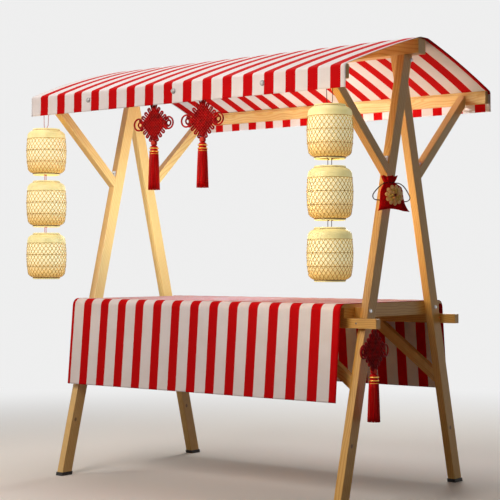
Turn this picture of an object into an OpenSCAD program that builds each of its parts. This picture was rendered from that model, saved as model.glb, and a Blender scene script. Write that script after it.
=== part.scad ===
// A wooden market stall: two leaning leg frames, a striped cloth roof and a table between them.
// X runs along the stall, the customers stand on the -Y side, and the floor is z = 0.
// The two leg frames are copies of each other, so in both the front leg is on the +X side.

/* [Leg frames] */
// Distance from the edge of the roof cloth to the plane where a front leg meets its rear leg
frame_inset = 107; // [62:1:200]
// Height at which the centre lines of a pair of legs cross, under the ridge beam
apex_h = 1900; // [1750:10:2100]
// Distance between the two feet of one frame, on the centre lines at the floor
foot_spread = 980; // [860:10:1100]
// Thickness of a leg along the stall
leg_t = 36; // [28:1:45]
// Width of a leg across its own length
leg_w = 60; // [45:1:75]
// Thickness of the rubber sole under a leg
sole_t = 6; // [3:1:12]
// Height to which the rubber foot wraps a leg
foot_rim_h = 16; // [12:1:30]
// Wall of the rubber foot round a leg
foot_wall = 2.5; // [1.5:0.5:4]

/* [Roof] */
// Length of the roof cloth along the stall, which the whole stall follows
canopy_l = 1804; // [1504:10:2504]
// How far the ends of the three beams lie inside the edge of the roof cloth
beam_inset = 2; // [0:0.5:20]
// Thickness of the ridge beam across the stall
ridge_w = 58; // [40:1:80]
// Height of the ridge beam
ridge_h = 65; // [45:1:90]
// Slope of the roof cloth
roof_pitch = 17.3; // [14:0.1:20]
// Distance from the middle of the stall to the face of a hanging valance
roof_half = 580; // [540:5:640]
// Thickness of an eave beam
eave_t = 24; // [20:1:45]
// Height of an eave beam
eave_h = 58; // [45:1:70]
// How far the roof cloth arches above a straight line from the ridge to an eave
roof_crown = 9; // [2:1:20]
// Thickness of the roof cloth with its hem
canopy_t = 3; // [2:0.5:5]
// Radius of the rounded outer edge of an eave beam, which the cloth folds over
eave_round = 14; // [4:1:20]
// How far a valance hangs below its eave beam
valance_drop = 36.4; // [12:0.1:96]
// Angle of a roof brace to the floor
brace_angle = 42; // [38:1:46]
// How far below the eave beams the lower edge of a roof brace leaves its leg
brace_drop = 358.4; // [336:0.1:406]
// Width of a roof brace
brace_w = 42; // [30:1:50]
// Length of each arm of a brace bracket
bracket_arm = 34; // [24:1:44]
// Width of a brace bracket along the stall
bracket_w = 22; // [14:1:28]
// Thickness of the bracket's steel strip
bracket_t = 2.5; // [2:0.5:4]

/* [Table] */
// Height of the table's cloth above the floor
table_h = 837; // [780:1:900]
// Distance from the middle of the stall to the face of the table cloth, just below its fold
table_half = 410; // [400:1:480]
// Radius of the table's long rounded edges, over the cloth
edge_r = 36; // [25:1:50]
// Thickness of the table top
top_t = 13; // [9:1:20]
// Height of the boards under the table top
board_h = 45; // [35:1:55]
// Thickness of the boards under the table top
board_t = 24; // [16:1:30]
// Distance from the middle of the stall to the end of a board under the table top
board_half = 378; // [366:1:390]
// Height of a table rail
rail_h = 41; // [32:1:50]
// Thickness of a table rail
rail_t = 32; // [24:1:40]
// How far a table rail stands out past the right-hand leg
rail_over = 74; // [50:1:200]
// Angle of a table brace to the floor
strut_angle = 37; // [33:1:42]
// Height at which the upper edge of a table brace meets its leg
strut_z = 525; // [490:1:560]
// Width of a table brace
strut_w = 45; // [32:1:55]

/* [Table cloth] */
// Thickness of the table cloth with its hem
cloth_t = 3; // [2:0.5:5]
// Height of the lower edge of the table cloth
cloth_z = 430; // [380:5:600]
// Angle at which the hanging cloth stands out from upright
drop_flare = 4.8; // [0:0.1:8]
// How far the cloth and the table top reach past the left-hand board, in front of and behind the legs
left_reach = 41; // [20:1:60]

/* [Lanterns] */
// Largest radius of a lantern
lantern_r = 94; // [75:1:105]
// Height of a lantern with its two rings
lantern_h = 218; // [180:1:225]
// Radius of a lantern's rounded shoulders
shoulder_r = 42; // [34:1:50]
// Radius of the mouth rings at the top and the bottom
mouth_r = 63; // [54:1:68]
// Thickness of the woven wall
weave_t = 4; // [3:0.5:6]
// Height of the uppermost of three bamboo hoops, over the middle of a lantern
hoop_z = 61; // [54:1:62]
// Distance between neighbouring hoops
hoop_step = 54; // [44:1:58]
// Height of a hoop
hoop_h = 5; // [3:0.5:8]
// How far a hoop stands out from the weave
hoop_t = 1.2; // [0.5:0.1:2]
// Height of a mouth ring
mouth_ring_h = 6; // [4:1:10]
// Diameter of the stick across each mouth
stick_d = 6; // [4:0.5:8]
// Distance between the middles of two lanterns on one string
lantern_pitch = 245; // [235:1:260]
// Length of the string from the eave beam to the top of the first lantern
lantern_hang = 99.4; // [80:0.1:140]
// Distance from the end of an eave beam to its lantern string
lantern_inset = 83; // [60:1:120]
// Distance from the middle of the stall to the lantern strings, towards the front
lantern_y = 565; // [560:1:575]
// Diameter of a lantern string
string_d = 3; // [2:0.5:5]

/* [Knots and pouch] */
// Number of parallel cords in each layer of a lucky knot
knot_cords = 6; // [4:2:8]
// Distance between neighbouring cords of a knot
knot_step = 18; // [15:1:22]
// Diameter of the cord that a knot is tied from
knot_cord_d = 8; // [6:0.5:10]
// Outer radius of the two side loops of a knot
side_loop_r = 26; // [20:1:32]
// Length of the cord from the eave beam to each of the two hanging knots
knot_hang = 38.8; // [24:0.1:70]
// Distance between the two knots under the valance
knot_gap = 282; // [260:2:400]
// Length of the cord from the table rail to its knot
rail_hang = 11.1; // [3:0.1:36]
// Length of the cord between a knot and its tassel
tassel_neck = 34; // [24:1:44]
// Length of a tassel with its gold collar
tassel_l = 196; // [150:1:220]
// Largest radius of a tassel
tassel_r = 27; // [18:1:30]
// Radius of the two gold rings round the top of a tassel
tassel_ring_r = 22; // [14:1:26]
// Distance between the two gold rings
tassel_ring_step = 14; // [9:1:20]
// Width of the drawstring pouch
pouch_w = 150; // [110:1:160]
// Height of the drawstring pouch
pouch_h = 156; // [120:1:170]
// Thickness of the filled pouch
pouch_t = 46; // [36:1:60]
// Angle by which the pouch is turned out from the face of the customers' side
pouch_turn = 64; // [50:1:80]
// How far the pouch hangs in front of the leg's centre line
pouch_front = 24; // [0:1:30]
// How far below the foot of the roof brace the frill of the pouch hangs
pouch_drop = 3; // [1:0.5:60]

/* [Hidden] */
$fn = 48;
// Room left between pieces that only rest on each other
seat = 0.3;
// A little more than a wall, so that a cut goes right through
cut = 1;
FRONT = -1;
REAR = 1;
LEFT = -1;
RIGHT = 1;

// Lengths along the stall, from the roof cloth inwards
beam_l = canopy_l - 2 * beam_inset;
// Distance between the two leg frames, measured where each front leg meets its rear leg
frame_gap = canopy_l - 2 * frame_inset;
// A rail runs from the left-hand leg to past the right-hand leg
rail_l = frame_gap + leg_t + rail_over;
lantern_x = beam_l / 2 - lantern_inset;

lean = atan(foot_spread / 2 / apex_h);
// Half the width of a leg, measured level
leg_half = leg_w / 2 / cos(lean);

// The bounding box is centred on the origin: the lanterns reach further than the rear valance
stall_y = (lantern_y + lantern_r + hoop_t - roof_half) / 2;

// Distance from the middle of the stall to a leg's outer face, at a height
function leg_out(z) = foot_spread / 2 * (1 - z / apex_h) + leg_half;
// The X at which a leg starts: the front leg lies on the +X side of the joint plane
function leg_x(end, side) = end * frame_gap / 2 - (side == REAR ? leg_t : 0);
// The X of the leg face that looks at the middle of the stall
function leg_inner_x(end, side) = leg_x(end, side) + (end == LEFT ? leg_t : 0);

// Roof: the cloth rests on the top edges of the ridge beam and of the eave beams
ridge_top = apex_h + ridge_h;
eave_out = roof_half - canopy_t - seat;
function roof_under(y) = ridge_top - (y - ridge_w / 2) * tan(roof_pitch);
eave_top = roof_under(eave_out);
eave_z = eave_top - eave_h;
valance_z = eave_z - valance_drop;
brace_z = eave_z - brace_drop;
lantern_z = eave_z - lantern_hang - lantern_h / 2;

// Table: heights from the cloth down
top_z = table_h - cloth_t - seat;
board_top = top_z - top_t;
board_z = board_top - board_h;
rail_z = board_z - rail_h;
rail_in = leg_out(rail_z) + seat;
// Both ends of the boards stop at the legs that stand further in
board_out_x = frame_gap / 2 - leg_t - seat;
cloth_x0 = -board_out_x - left_reach;
// The table top and its cloth are cut out here, where the left-hand legs pass
leg_cut = leg_out(board_top) + 8;

// Knots: each layer is a row of cords, and the second layer lies across the first
knot_half = (knot_cords - 1) * knot_step / 2;
// Distance from the middle of a knot to the corner of its woven square
knot_reach = (knot_half + knot_cord_d / 2) * sqrt(2);
layer_t = knot_cord_d * 0.75;
layer_lap = 1;
// Where the straight cords end and the turns begin
cord_end = knot_half + knot_step / 4;
turn_steps = 8;
knot_z = eave_z - seat - knot_hang - knot_reach;
rail_knot_z = rail_z - seat - rail_hang - knot_reach;
// The way in which the last cord of a layer runs
last_way = knot_cords % 2 == 0 ? LEFT : RIGHT;

module along_x(x, len) {
    translate([x, 0, 0])
        rotate([90, 0, 90])
            linear_extrude(len) children();
}

module placed() {
    translate([0, stall_y, 0]) children();
}

// LEGS

// The leaning outline of a leg between two heights, grown by g on both sides
module leg_outline(side, z0, z1, g = 0) {
    polygon([
        [side * (leg_out(z0) + g), z0],
        [side * (leg_out(z0) - 2 * leg_half - g), z0],
        [side * (leg_out(z1) - 2 * leg_half - g), z1],
        [side * (leg_out(z1) + g), z1]
    ]);
}

module leg(end, side) {
    color("burlywood")
        along_x(leg_x(end, side), leg_t) leg_outline(side, sole_t, apex_h);
}

// A rubber shoe: a sole with a low rim that follows the lean of the leg
module foot_pad(end, side) {
    x0 = leg_x(end, side);
    difference() {
        along_x(x0 - seat - foot_wall, leg_t + 2 * (seat + foot_wall))
            leg_outline(side, 0, foot_rim_h, foot_wall + seat);
        along_x(x0 - seat, leg_t + 2 * seat)
            leg_outline(side, sole_t, foot_rim_h + cut, seat);
    }
}

module foot_pads() {
    color("dimgray")
        for (end = [LEFT, RIGHT], side = [FRONT, REAR])
            foot_pad(end, side);
}

// ROOF

module ridge_beam() {
    color("burlywood")
        along_x(-beam_l / 2, beam_l)
            translate([-ridge_w / 2, apex_h]) square([ridge_w, ridge_h]);
}

// An eave beam's outline: its outer edge is rounded where the cloth folds over it
module eave_outline(side) {
    x_round = side < 0 ? eave_round : eave_t - eave_round;
    square([eave_t, eave_h - eave_round]);
    translate([side < 0 ? eave_round : 0, 0]) square([eave_t - eave_round, eave_h]);
    translate([x_round, eave_h - eave_round]) circle(eave_round);
}

module eave_beam(side) {
    color("burlywood")
        along_x(-beam_l / 2, beam_l)
            translate([side < 0 ? -eave_out : eave_out - eave_t, eave_top - eave_h])
                eave_outline(side);
}

// A roof brace runs from the outer face of a leg up to the inner face of the eave beam
function brace_line(y, shift) =
    brace_z + shift / cos(brace_angle) + (y - leg_out(brace_z)) * tan(brace_angle);
// Where the brace's edge, shifted across its width, meets the leg
function brace_foot(shift) =
    let (m = foot_spread / 2 / apex_h, t = tan(brace_angle))
    (brace_z + shift / cos(brace_angle) + (foot_spread / 2 + leg_half - leg_out(brace_z)) * t)
    / (1 + m * t);

module roof_brace(end, side) {
    y_top = eave_out - eave_t - seat;
    foot_up = brace_foot(brace_w);
    color("burlywood")
        along_x(leg_x(end, side), leg_t)
            polygon([
                [side * (leg_out(brace_z) + seat), brace_z],
                [side * y_top, brace_line(y_top, 0)],
                [side * y_top, brace_line(y_top, brace_w)],
                [side * (leg_out(foot_up) + seat), foot_up]
            ]);
}

// A bent steel strip in the corner above each brace
module brace_bracket(end, side) {
    up = [cos(90 + lean), sin(90 + lean)];
    out = [cos(brace_angle), sin(brace_angle)];
    off = 2 * seat;
    z0 = brace_foot(brace_w + off);
    corner = [leg_out(z0) + off, z0];
    // The inner corner of the strip lies where its two inner faces cross
    bend = 90 + lean - brace_angle;
    inner = corner + (up + out) * bracket_t / sin(bend);
    along_x(leg_x(end, side) + (leg_t - bracket_w) / 2, bracket_w)
        scale([side, 1])
            polygon([
                corner,
                corner + out * bracket_arm,
                inner + out * (bracket_arm - bracket_t / tan(bend / 2)),
                inner,
                inner + up * (bracket_arm - bracket_t / tan(bend / 2)),
                corner + up * bracket_arm
            ]);
}

module brace_brackets() {
    color("silver")
        for (end = [LEFT, RIGHT], side = [FRONT, REAR])
            brace_bracket(end, side);
}

// The roof cloth's fold over an eave beam, and the circle that its slope arches along
fold_y = eave_out - eave_round;
fold_z = eave_top - eave_round;
fold_r = eave_round + seat;
slope_rise = ridge_top + seat - fold_z - fold_r * cos(roof_pitch);
slope_run = fold_y + fold_r * sin(roof_pitch) - ridge_w / 2;
// How much the slope turns between its middle and either end
slope_bow = 2 * atan(2 * roof_crown / norm([slope_run, slope_rise]));
slope_tilt = atan(slope_rise / slope_run);
slope_r = norm([slope_run, slope_rise]) / 2 / sin(slope_bow);
slope_mid = [ridge_w / 2, ridge_top + seat]
    - slope_r * [sin(slope_tilt - slope_bow), cos(slope_tilt - slope_bow)];
fold_steps = 9;
slope_steps = 16;

// A point at an angle from upright on a circle
function on_circle(mid, r, a) = mid + r * [sin(a), cos(a)];

// Half the outline under or over the roof cloth, grown by g from the beams, ridge first
function roof_side(g, z_low) = concat(
    [for (i = [0:slope_steps])
        on_circle(slope_mid, slope_r + g, slope_tilt + slope_bow * (2 * i / slope_steps - 1))],
    [for (i = [1:fold_steps])
        let (a = slope_tilt + slope_bow)
        on_circle([fold_y, fold_z], fold_r + g, a + (90 - a) * i / fold_steps)],
    [[eave_out + seat + g, z_low]]
);

module roof_outline(g, z_low) {
    side = roof_side(g, z_low);
    polygon(concat(side, [for (i = [len(side) - 1:-1:0]) [-side[i][0], side[i][1]]]));
}

module roof_canopy() {
    color("firebrick")
        along_x(-canopy_l / 2, canopy_l)
            difference() {
                roof_outline(canopy_t, valance_z);
                roof_outline(0, valance_z - cut);
            }
}

// TABLE

module table_rail(side) {
    // Each rail starts flush with its own left-hand leg
    x0 = leg_x(LEFT, side);
    color("burlywood")
        along_x(x0, rail_l)
            translate([side < 0 ? -rail_in - rail_t : rail_in, rail_z]) square([rail_t, rail_h]);
}

module table_board(x) {
    along_x(x, board_t)
        translate([-board_half, board_z]) square([2 * board_half, board_h]);
}

module table_board_end(end) {
    color("burlywood")
        table_board(end == RIGHT ? board_out_x - board_t : -board_out_x);
}

// Two boards at the thirds of the table carry the middle of the top
module table_cross_boards() {
    color("burlywood")
        for (end = [LEFT, RIGHT])
            table_board(end * board_out_x / 3 - board_t / 2);
}

// Half the outline of the table with its rounded long edge, grown by g over the table top
function table_side(g, z_low) =
    let (
        r = edge_r - cloth_t - seat + g,
        mid = [table_half - edge_r, top_z + g - r],
        // Where the hanging cloth leaves the round of the table's edge
        leaves = on_circle(mid, r, 90 - drop_flare)
    )
    concat(
        [for (i = [0:fold_steps]) on_circle(mid, r, (90 - drop_flare) * i / fold_steps)],
        [[leaves[0] + (leaves[1] - z_low) * tan(drop_flare), z_low]]
    );

module table_outline(g, z_low) {
    side = table_side(g, z_low);
    polygon(concat(side, [for (i = [len(side) - 1:-1:0]) [-side[i][0], side[i][1]]]));
}

// The place where the left-hand legs pass the end of the table
module leg_cutout() {
    translate([cloth_x0 - cut, -leg_cut, cloth_z])
        cube([left_reach + cut, 2 * leg_cut, table_h]);
}

module table_top() {
    color("burlywood")
        difference() {
            along_x(cloth_x0, board_out_x - cloth_x0)
                intersection() {
                    table_outline(0, board_top);
                    translate([-table_half, board_top]) square([2 * table_half, top_t]);
                }
            leg_cutout();
        }
}

module table_cloth() {
    color("crimson")
        difference() {
            along_x(cloth_x0, board_out_x - cloth_x0)
                difference() {
                    table_outline(cloth_t + seat, cloth_z);
                    table_outline(seat, cloth_z - cut);
                }
            leg_cutout();
        }
}

// Blocks fill the gap between a board and the leg that stands further out
module spacer_blocks() {
    block_l = leg_w * 0.8;
    mid = leg_out(board_z + board_h / 2) - leg_half;
    gap = leg_t - seat;
    color("burlywood")
        for (p = [[RIGHT, FRONT], [LEFT, REAR]]) {
            x0 = p[0] == RIGHT ? board_out_x + seat / 2 : -board_out_x - seat / 2 - gap;
            translate([x0, p[1] * mid - block_l / 2, board_z]) cube([gap, block_l, board_h]);
        }
}

// A table brace stands under its rail and runs down to the inner face of the leg
module table_brace(end, side) {
    x_leg = abs(leg_inner_x(end, side)) - seat;
    z_rail = rail_z - seat;
    run = (z_rail - strut_z) / tan(strut_angle);
    z_low = strut_z - strut_w / cos(strut_angle);
    run_low = (z_rail - z_low) / tan(strut_angle);
    y0 = side < 0 ? -rail_in - rail_t : rail_in;
    color("burlywood")
        translate([0, y0 + rail_t, 0])
            rotate([90, 0, 0])
                linear_extrude(rail_t)
                    polygon([
                        [end * x_leg, strut_z], [end * (x_leg - run), z_rail],
                        [end * (x_leg - run_low), z_rail], [end * x_leg, z_low]
                    ]);
}

// LANTERNS

// Half the outline of a barrel with rounded shoulders, grown by g
module barrel_outline(g) {
    r = lantern_r + g;
    h = lantern_h - 2 * mouth_ring_h + 2 * g;
    c = shoulder_r + g;
    belly = 3.4 * lantern_r;
    intersection() {
        union() {
            translate([0, c - h / 2]) square([r, h - 2 * c]);
            translate([0, -h / 2]) square([r - c, h]);
            for (s = [-1, 1])
                translate([r - c, s * (h / 2 - c)]) circle(c);
        }
        translate([r - belly, 0]) circle(belly, $fn = 180);
        translate([0, -h]) square([r, 2 * h]);
    }
}

// A woven shell with an open mouth at the top and the bottom, each with a ring and a stick
module lantern(end, row) {
    z = lantern_z - row * lantern_pitch;
    mouth_in = mouth_r - 5;
    ring_z = lantern_h / 2 - mouth_ring_h - weave_t / 2;
    color("wheat")
        translate([end * lantern_x, -lantern_y, z]) {
            rotate_extrude() {
                difference() {
                    barrel_outline(0);
                    barrel_outline(-weave_t);
                    translate([0, -lantern_h]) square([mouth_in, 2 * lantern_h]);
                }
                for (s = [-1, 1])
                    translate([mouth_in, s > 0 ? ring_z : -lantern_h / 2])
                        square([mouth_r - mouth_in, lantern_h / 2 - ring_z]);
                for (k = [0:2])
                    intersection() {
                        difference() {
                            barrel_outline(hoop_t);
                            barrel_outline(-weave_t / 2);
                        }
                        translate([0, hoop_z - k * hoop_step - hoop_h / 2])
                            square([lantern_r + 2 * hoop_t, hoop_h]);
                    }
            }
            for (s = [-1, 1])
                translate([-mouth_in - 2, 0, s * (lantern_h / 2 - mouth_ring_h / 2)])
                    rotate([0, 90, 0]) cylinder(d = stick_d, h = 2 * mouth_in + 4);
        }
}

// Taut strings from the eave beam to the top stick, and from each lower stick to the next
module lantern_string(end) {
    reach = lantern_h / 2 - mouth_ring_h / 2 + stick_d / 2 + seat;
    color("brown")
        translate([end * lantern_x, -lantern_y, 0])
            for (row = [0:2]) {
                z0 = lantern_z - row * lantern_pitch + reach;
                z1 = row == 0 ? eave_z - seat : lantern_z - (row - 1) * lantern_pitch - reach;
                translate([0, 0, z0]) cylinder(d = string_d, h = z1 - z0, $fn = 16);
            }
}

// KNOTS, TASSELS AND POUCH

// Points of a half turn about a middle point, from angle a0 through 180 degrees
function half_turn(x, y, r, a0, dir) =
    [for (i = [0:turn_steps]) let (a = a0 + dir * 180 * i / turn_steps) [x + r * cos(a), y + r * sin(a)]];

// One edge of the cord, which lies w to its right; the cord turns at alternate ends
function cord_edge(w) = concat(
    [[-cord_end, -knot_half - w]],
    [for (i = [0:knot_cords - 2])
        let (s = i % 2 == 0 ? 1 : -1, y = (i + 0.5) * knot_step - knot_half)
        each half_turn(s * cord_end, y, knot_step / 2 + s * w, -90, s)],
    [[last_way * cord_end, knot_half - last_way * w]]
);

function reversed(list) = [for (i = [len(list) - 1:-1:0]) list[i]];

// One layer of a knot: a single cord that runs to and fro
module knot_layer() {
    w = knot_cord_d / 2;
    polygon(concat(cord_edge(w), reversed(cord_edge(-w))));
}

module ring_2d(r, w) {
    difference() {
        circle(r);
        circle(r - w);
    }
}

// A flat lucky knot, standing upright and facing -Y, hung by a cord that is hang_l long
module lucky_knot(hang_l) {
    rotate([90, 0, 0]) {
        for (k = [0, 1])
            translate([0, 0, k == 0 ? layer_lap / 2 - layer_t : -layer_lap / 2])
                linear_extrude(layer_t)
                    rotate(45 + 90 * k) knot_layer();
        translate([0, 0, -knot_cord_d / 2])
            linear_extrude(knot_cord_d) {
                for (s = [-1, 1]) {
                    translate([s * (knot_reach + side_loop_r - knot_cord_d * 1.25), 0])
                        ring_2d(side_loop_r, knot_cord_d);
                    translate([s * (knot_reach - knot_step), 0])
                        square([knot_step * 2 - knot_cord_d, knot_cord_d], center = true);
                }
                translate([-knot_cord_d / 2, knot_reach - knot_step])
                    square([knot_cord_d, knot_step + knot_cord_d]);
                translate([-knot_cord_d / 2, -knot_reach - tassel_neck])
                    square([knot_cord_d, tassel_neck + knot_step]);
            }
    }
    translate([0, 0, knot_reach]) cylinder(d = string_d, h = hang_l - knot_reach, $fn = 16);
}

// A tassel: a rounded head under two gold rings, then a skirt of threads that widens downwards
module tassel() {
    ring_t = 5;
    head_z = -10;
    neck_r = tassel_ring_r - ring_t / 2;
    skirt_z = head_z - tassel_ring_step - ring_t;
    function ring_points(z) =
        [[neck_r, z], [tassel_ring_r, z - 1], [tassel_ring_r, z - ring_t + 1], [neck_r, z - ring_t]];
    color("darkred")
        rotate_extrude()
            polygon(concat(
                [[0, 0], [neck_r * 0.35, 0], [neck_r * 0.8, head_z / 2]],
                ring_points(head_z),
                ring_points(head_z - tassel_ring_step),
                [[tassel_ring_r - 1, skirt_z - ring_t], [tassel_r, -tassel_l], [0, -tassel_l]]
            ));
}

knot_bottom = knot_reach + tassel_neck + seat;
// The knots hang from the inner edge of the front eave beam
hang_knot_y = eave_out - eave_t + string_d / 2 + 0.8;
rail_knot_x = leg_x(LEFT, FRONT) + rail_l - 22;
rail_knot_y = rail_in + rail_t / 2;

module hung_knot(end) {
    color("firebrick")
        translate([end * knot_gap / 2, -hang_knot_y, knot_z]) lucky_knot(knot_reach + knot_hang);
}

module hung_tassel(end) {
    translate([end * knot_gap / 2, -hang_knot_y, knot_z - knot_bottom]) tassel();
}

module rail_knot() {
    color("firebrick")
        translate([rail_knot_x, -rail_knot_y, rail_knot_z])
            rotate([0, 0, 90]) lucky_knot(knot_reach + rail_hang);
}

module rail_tassel() {
    translate([rail_knot_x, -rail_knot_y, rail_knot_z - knot_bottom]) tassel();
}

// Height of the bottom of the pouch
pouch_z = brace_z - pouch_drop - pouch_h;

// A filled cloth pouch with a drawn neck, turned out from the outer side of a leg that it is pegged to
module pouch() {
    belly = [0, pouch_t / 2, pouch_h * 0.36];
    side = [pouch_w * 0.24, pouch_t * 0.4, pouch_h * 0.56];
    foot = [pouch_w / 2 - pouch_t / 4, pouch_t / 4, pouch_t / 4];
    neck_r = pouch_w * 0.13;
    neck_z = pouch_h * 0.82;
    // How far the back of the pouch stands from its middle line, square to the leg
    back = max([for (p = [belly, side, foot]) p[0] * cos(pouch_turn) + p[1]]);
    mid_y = leg_out(pouch_z + pouch_h / 2) - leg_half + pouch_front;
    color("darkred")
        translate([leg_x(RIGHT, FRONT) + leg_t + seat + back, -mid_y, pouch_z])
            rotate([0, 0, pouch_turn]) {
                hull() {
                    for (p = [belly, side, foot], s = [-1, 1])
                        translate([s * p[0], 0, p[2]]) scale(p[1]) sphere(1, $fn = 20);
                    translate([0, 0, neck_z - 2]) cylinder(r = neck_r, h = 4, $fn = 24);
                }
                translate([0, 0, neck_z])
                    cylinder(r1 = neck_r - 1, r2 = neck_r * 1.7, h = pouch_h - neck_z, $fn = 24);
                // The peg behind the neck runs straight to the face of the leg
                rotate([0, 0, -pouch_turn])
                    translate([-back, pouch_front / 2, neck_z - 4])
                        rotate([0, 90, 0]) cylinder(d = 6, h = back, $fn = 16);
            }
}

placed() leg(LEFT, FRONT);  // leg_front_left
placed() leg(LEFT, REAR);  // leg_rear_left
placed() leg(RIGHT, FRONT);  // leg_front_right
placed() leg(RIGHT, REAR);  // leg_rear_right
placed() foot_pads();
placed() ridge_beam();
placed() eave_beam(FRONT);  // eave_beam_front
placed() eave_beam(REAR);  // eave_beam_rear
placed() roof_brace(LEFT, FRONT);  // roof_brace_front_left
placed() roof_brace(LEFT, REAR);  // roof_brace_rear_left
placed() roof_brace(RIGHT, FRONT);  // roof_brace_front_right
placed() roof_brace(RIGHT, REAR);  // roof_brace_rear_right
placed() brace_brackets();
placed() table_rail(FRONT);  // table_rail_front
placed() table_rail(REAR);  // table_rail_rear
placed() table_board_end(LEFT);  // table_board_left
placed() table_board_end(RIGHT);  // table_board_right
placed() table_cross_boards();
placed() table_top();
placed() spacer_blocks();
placed() table_brace(LEFT, FRONT);  // table_brace_front_left
placed() table_brace(LEFT, REAR);  // table_brace_rear_left
placed() table_brace(RIGHT, FRONT);  // table_brace_front_right
placed() table_brace(RIGHT, REAR);  // table_brace_rear_right
placed() roof_canopy();
placed() table_cloth();
placed() lantern(LEFT, 0);  // lantern_left_upper
placed() lantern(LEFT, 1);  // lantern_left_middle
placed() lantern(LEFT, 2);  // lantern_left_lower
placed() lantern(RIGHT, 0);  // lantern_right_upper
placed() lantern(RIGHT, 1);  // lantern_right_middle
placed() lantern(RIGHT, 2);  // lantern_right_lower
placed() lantern_string(LEFT);  // lantern_string_left
placed() lantern_string(RIGHT);  // lantern_string_right
placed() hung_knot(LEFT);  // knot_left
placed() hung_knot(RIGHT);  // knot_right
placed() rail_knot();  // knot_rail
placed() hung_tassel(LEFT);  // tassel_left
placed() hung_tassel(RIGHT);  // tassel_right
placed() rail_tassel();  // tassel_rail
placed() pouch();
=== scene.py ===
import math
import random

import bmesh
import bpy
from mathutils import Matrix, Vector, noise
from mathutils.bvhtree import BVHTree


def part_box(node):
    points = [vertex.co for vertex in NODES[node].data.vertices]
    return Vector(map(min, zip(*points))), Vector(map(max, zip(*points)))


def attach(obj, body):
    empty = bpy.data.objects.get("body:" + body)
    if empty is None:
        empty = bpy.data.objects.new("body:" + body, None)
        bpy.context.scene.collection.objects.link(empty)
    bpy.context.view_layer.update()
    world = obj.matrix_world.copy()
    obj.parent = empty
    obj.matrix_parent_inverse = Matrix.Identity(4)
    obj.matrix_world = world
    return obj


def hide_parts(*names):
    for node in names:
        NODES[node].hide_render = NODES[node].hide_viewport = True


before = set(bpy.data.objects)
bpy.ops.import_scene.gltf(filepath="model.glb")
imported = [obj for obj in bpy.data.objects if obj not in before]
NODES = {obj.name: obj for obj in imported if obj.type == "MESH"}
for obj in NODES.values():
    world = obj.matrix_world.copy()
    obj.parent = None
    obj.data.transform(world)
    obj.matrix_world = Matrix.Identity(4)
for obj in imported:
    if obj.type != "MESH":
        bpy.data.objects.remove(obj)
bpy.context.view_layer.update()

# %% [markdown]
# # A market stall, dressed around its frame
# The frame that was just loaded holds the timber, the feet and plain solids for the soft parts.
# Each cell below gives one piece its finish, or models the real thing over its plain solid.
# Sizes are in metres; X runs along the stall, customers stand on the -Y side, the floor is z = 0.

# %% [markdown]
# ## The camera
# The stall was photographed with a long lens held level, from the right of the customers' side.
# A level camera keeps uprights upright, and a small shift lowers the horizon in the picture,
# which is what an architect does instead of tilting the camera.

# %% Camera
scene = bpy.context.scene
scene.view_settings.view_transform = "Standard"
EYE = Vector((4.0437, -5.1076, 1.0006))
EYE_TURN = 0.6705
LENS_MM = 100.84
HORIZON_SHIFT = 13.93 / 500


def add_camera():
    lens = bpy.data.cameras.new("camera")
    lens.lens = LENS_MM
    lens.sensor_width = 36
    lens.shift_y = HORIZON_SHIFT
    camera = bpy.data.objects.new("camera", lens)
    camera.location = EYE
    camera.rotation_euler = (math.radians(90), 0, EYE_TURN)
    scene.collection.objects.link(camera)
    scene.camera = camera


add_camera()

# %% [markdown]
# ## Building finishes from nodes
# A finish is a chain of small steps: read a place on the piece, make a pattern from it, and send
# the result to colour, roughness or bump. The class keeps each step to one short call.

# %% A small helper for node finishes


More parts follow.
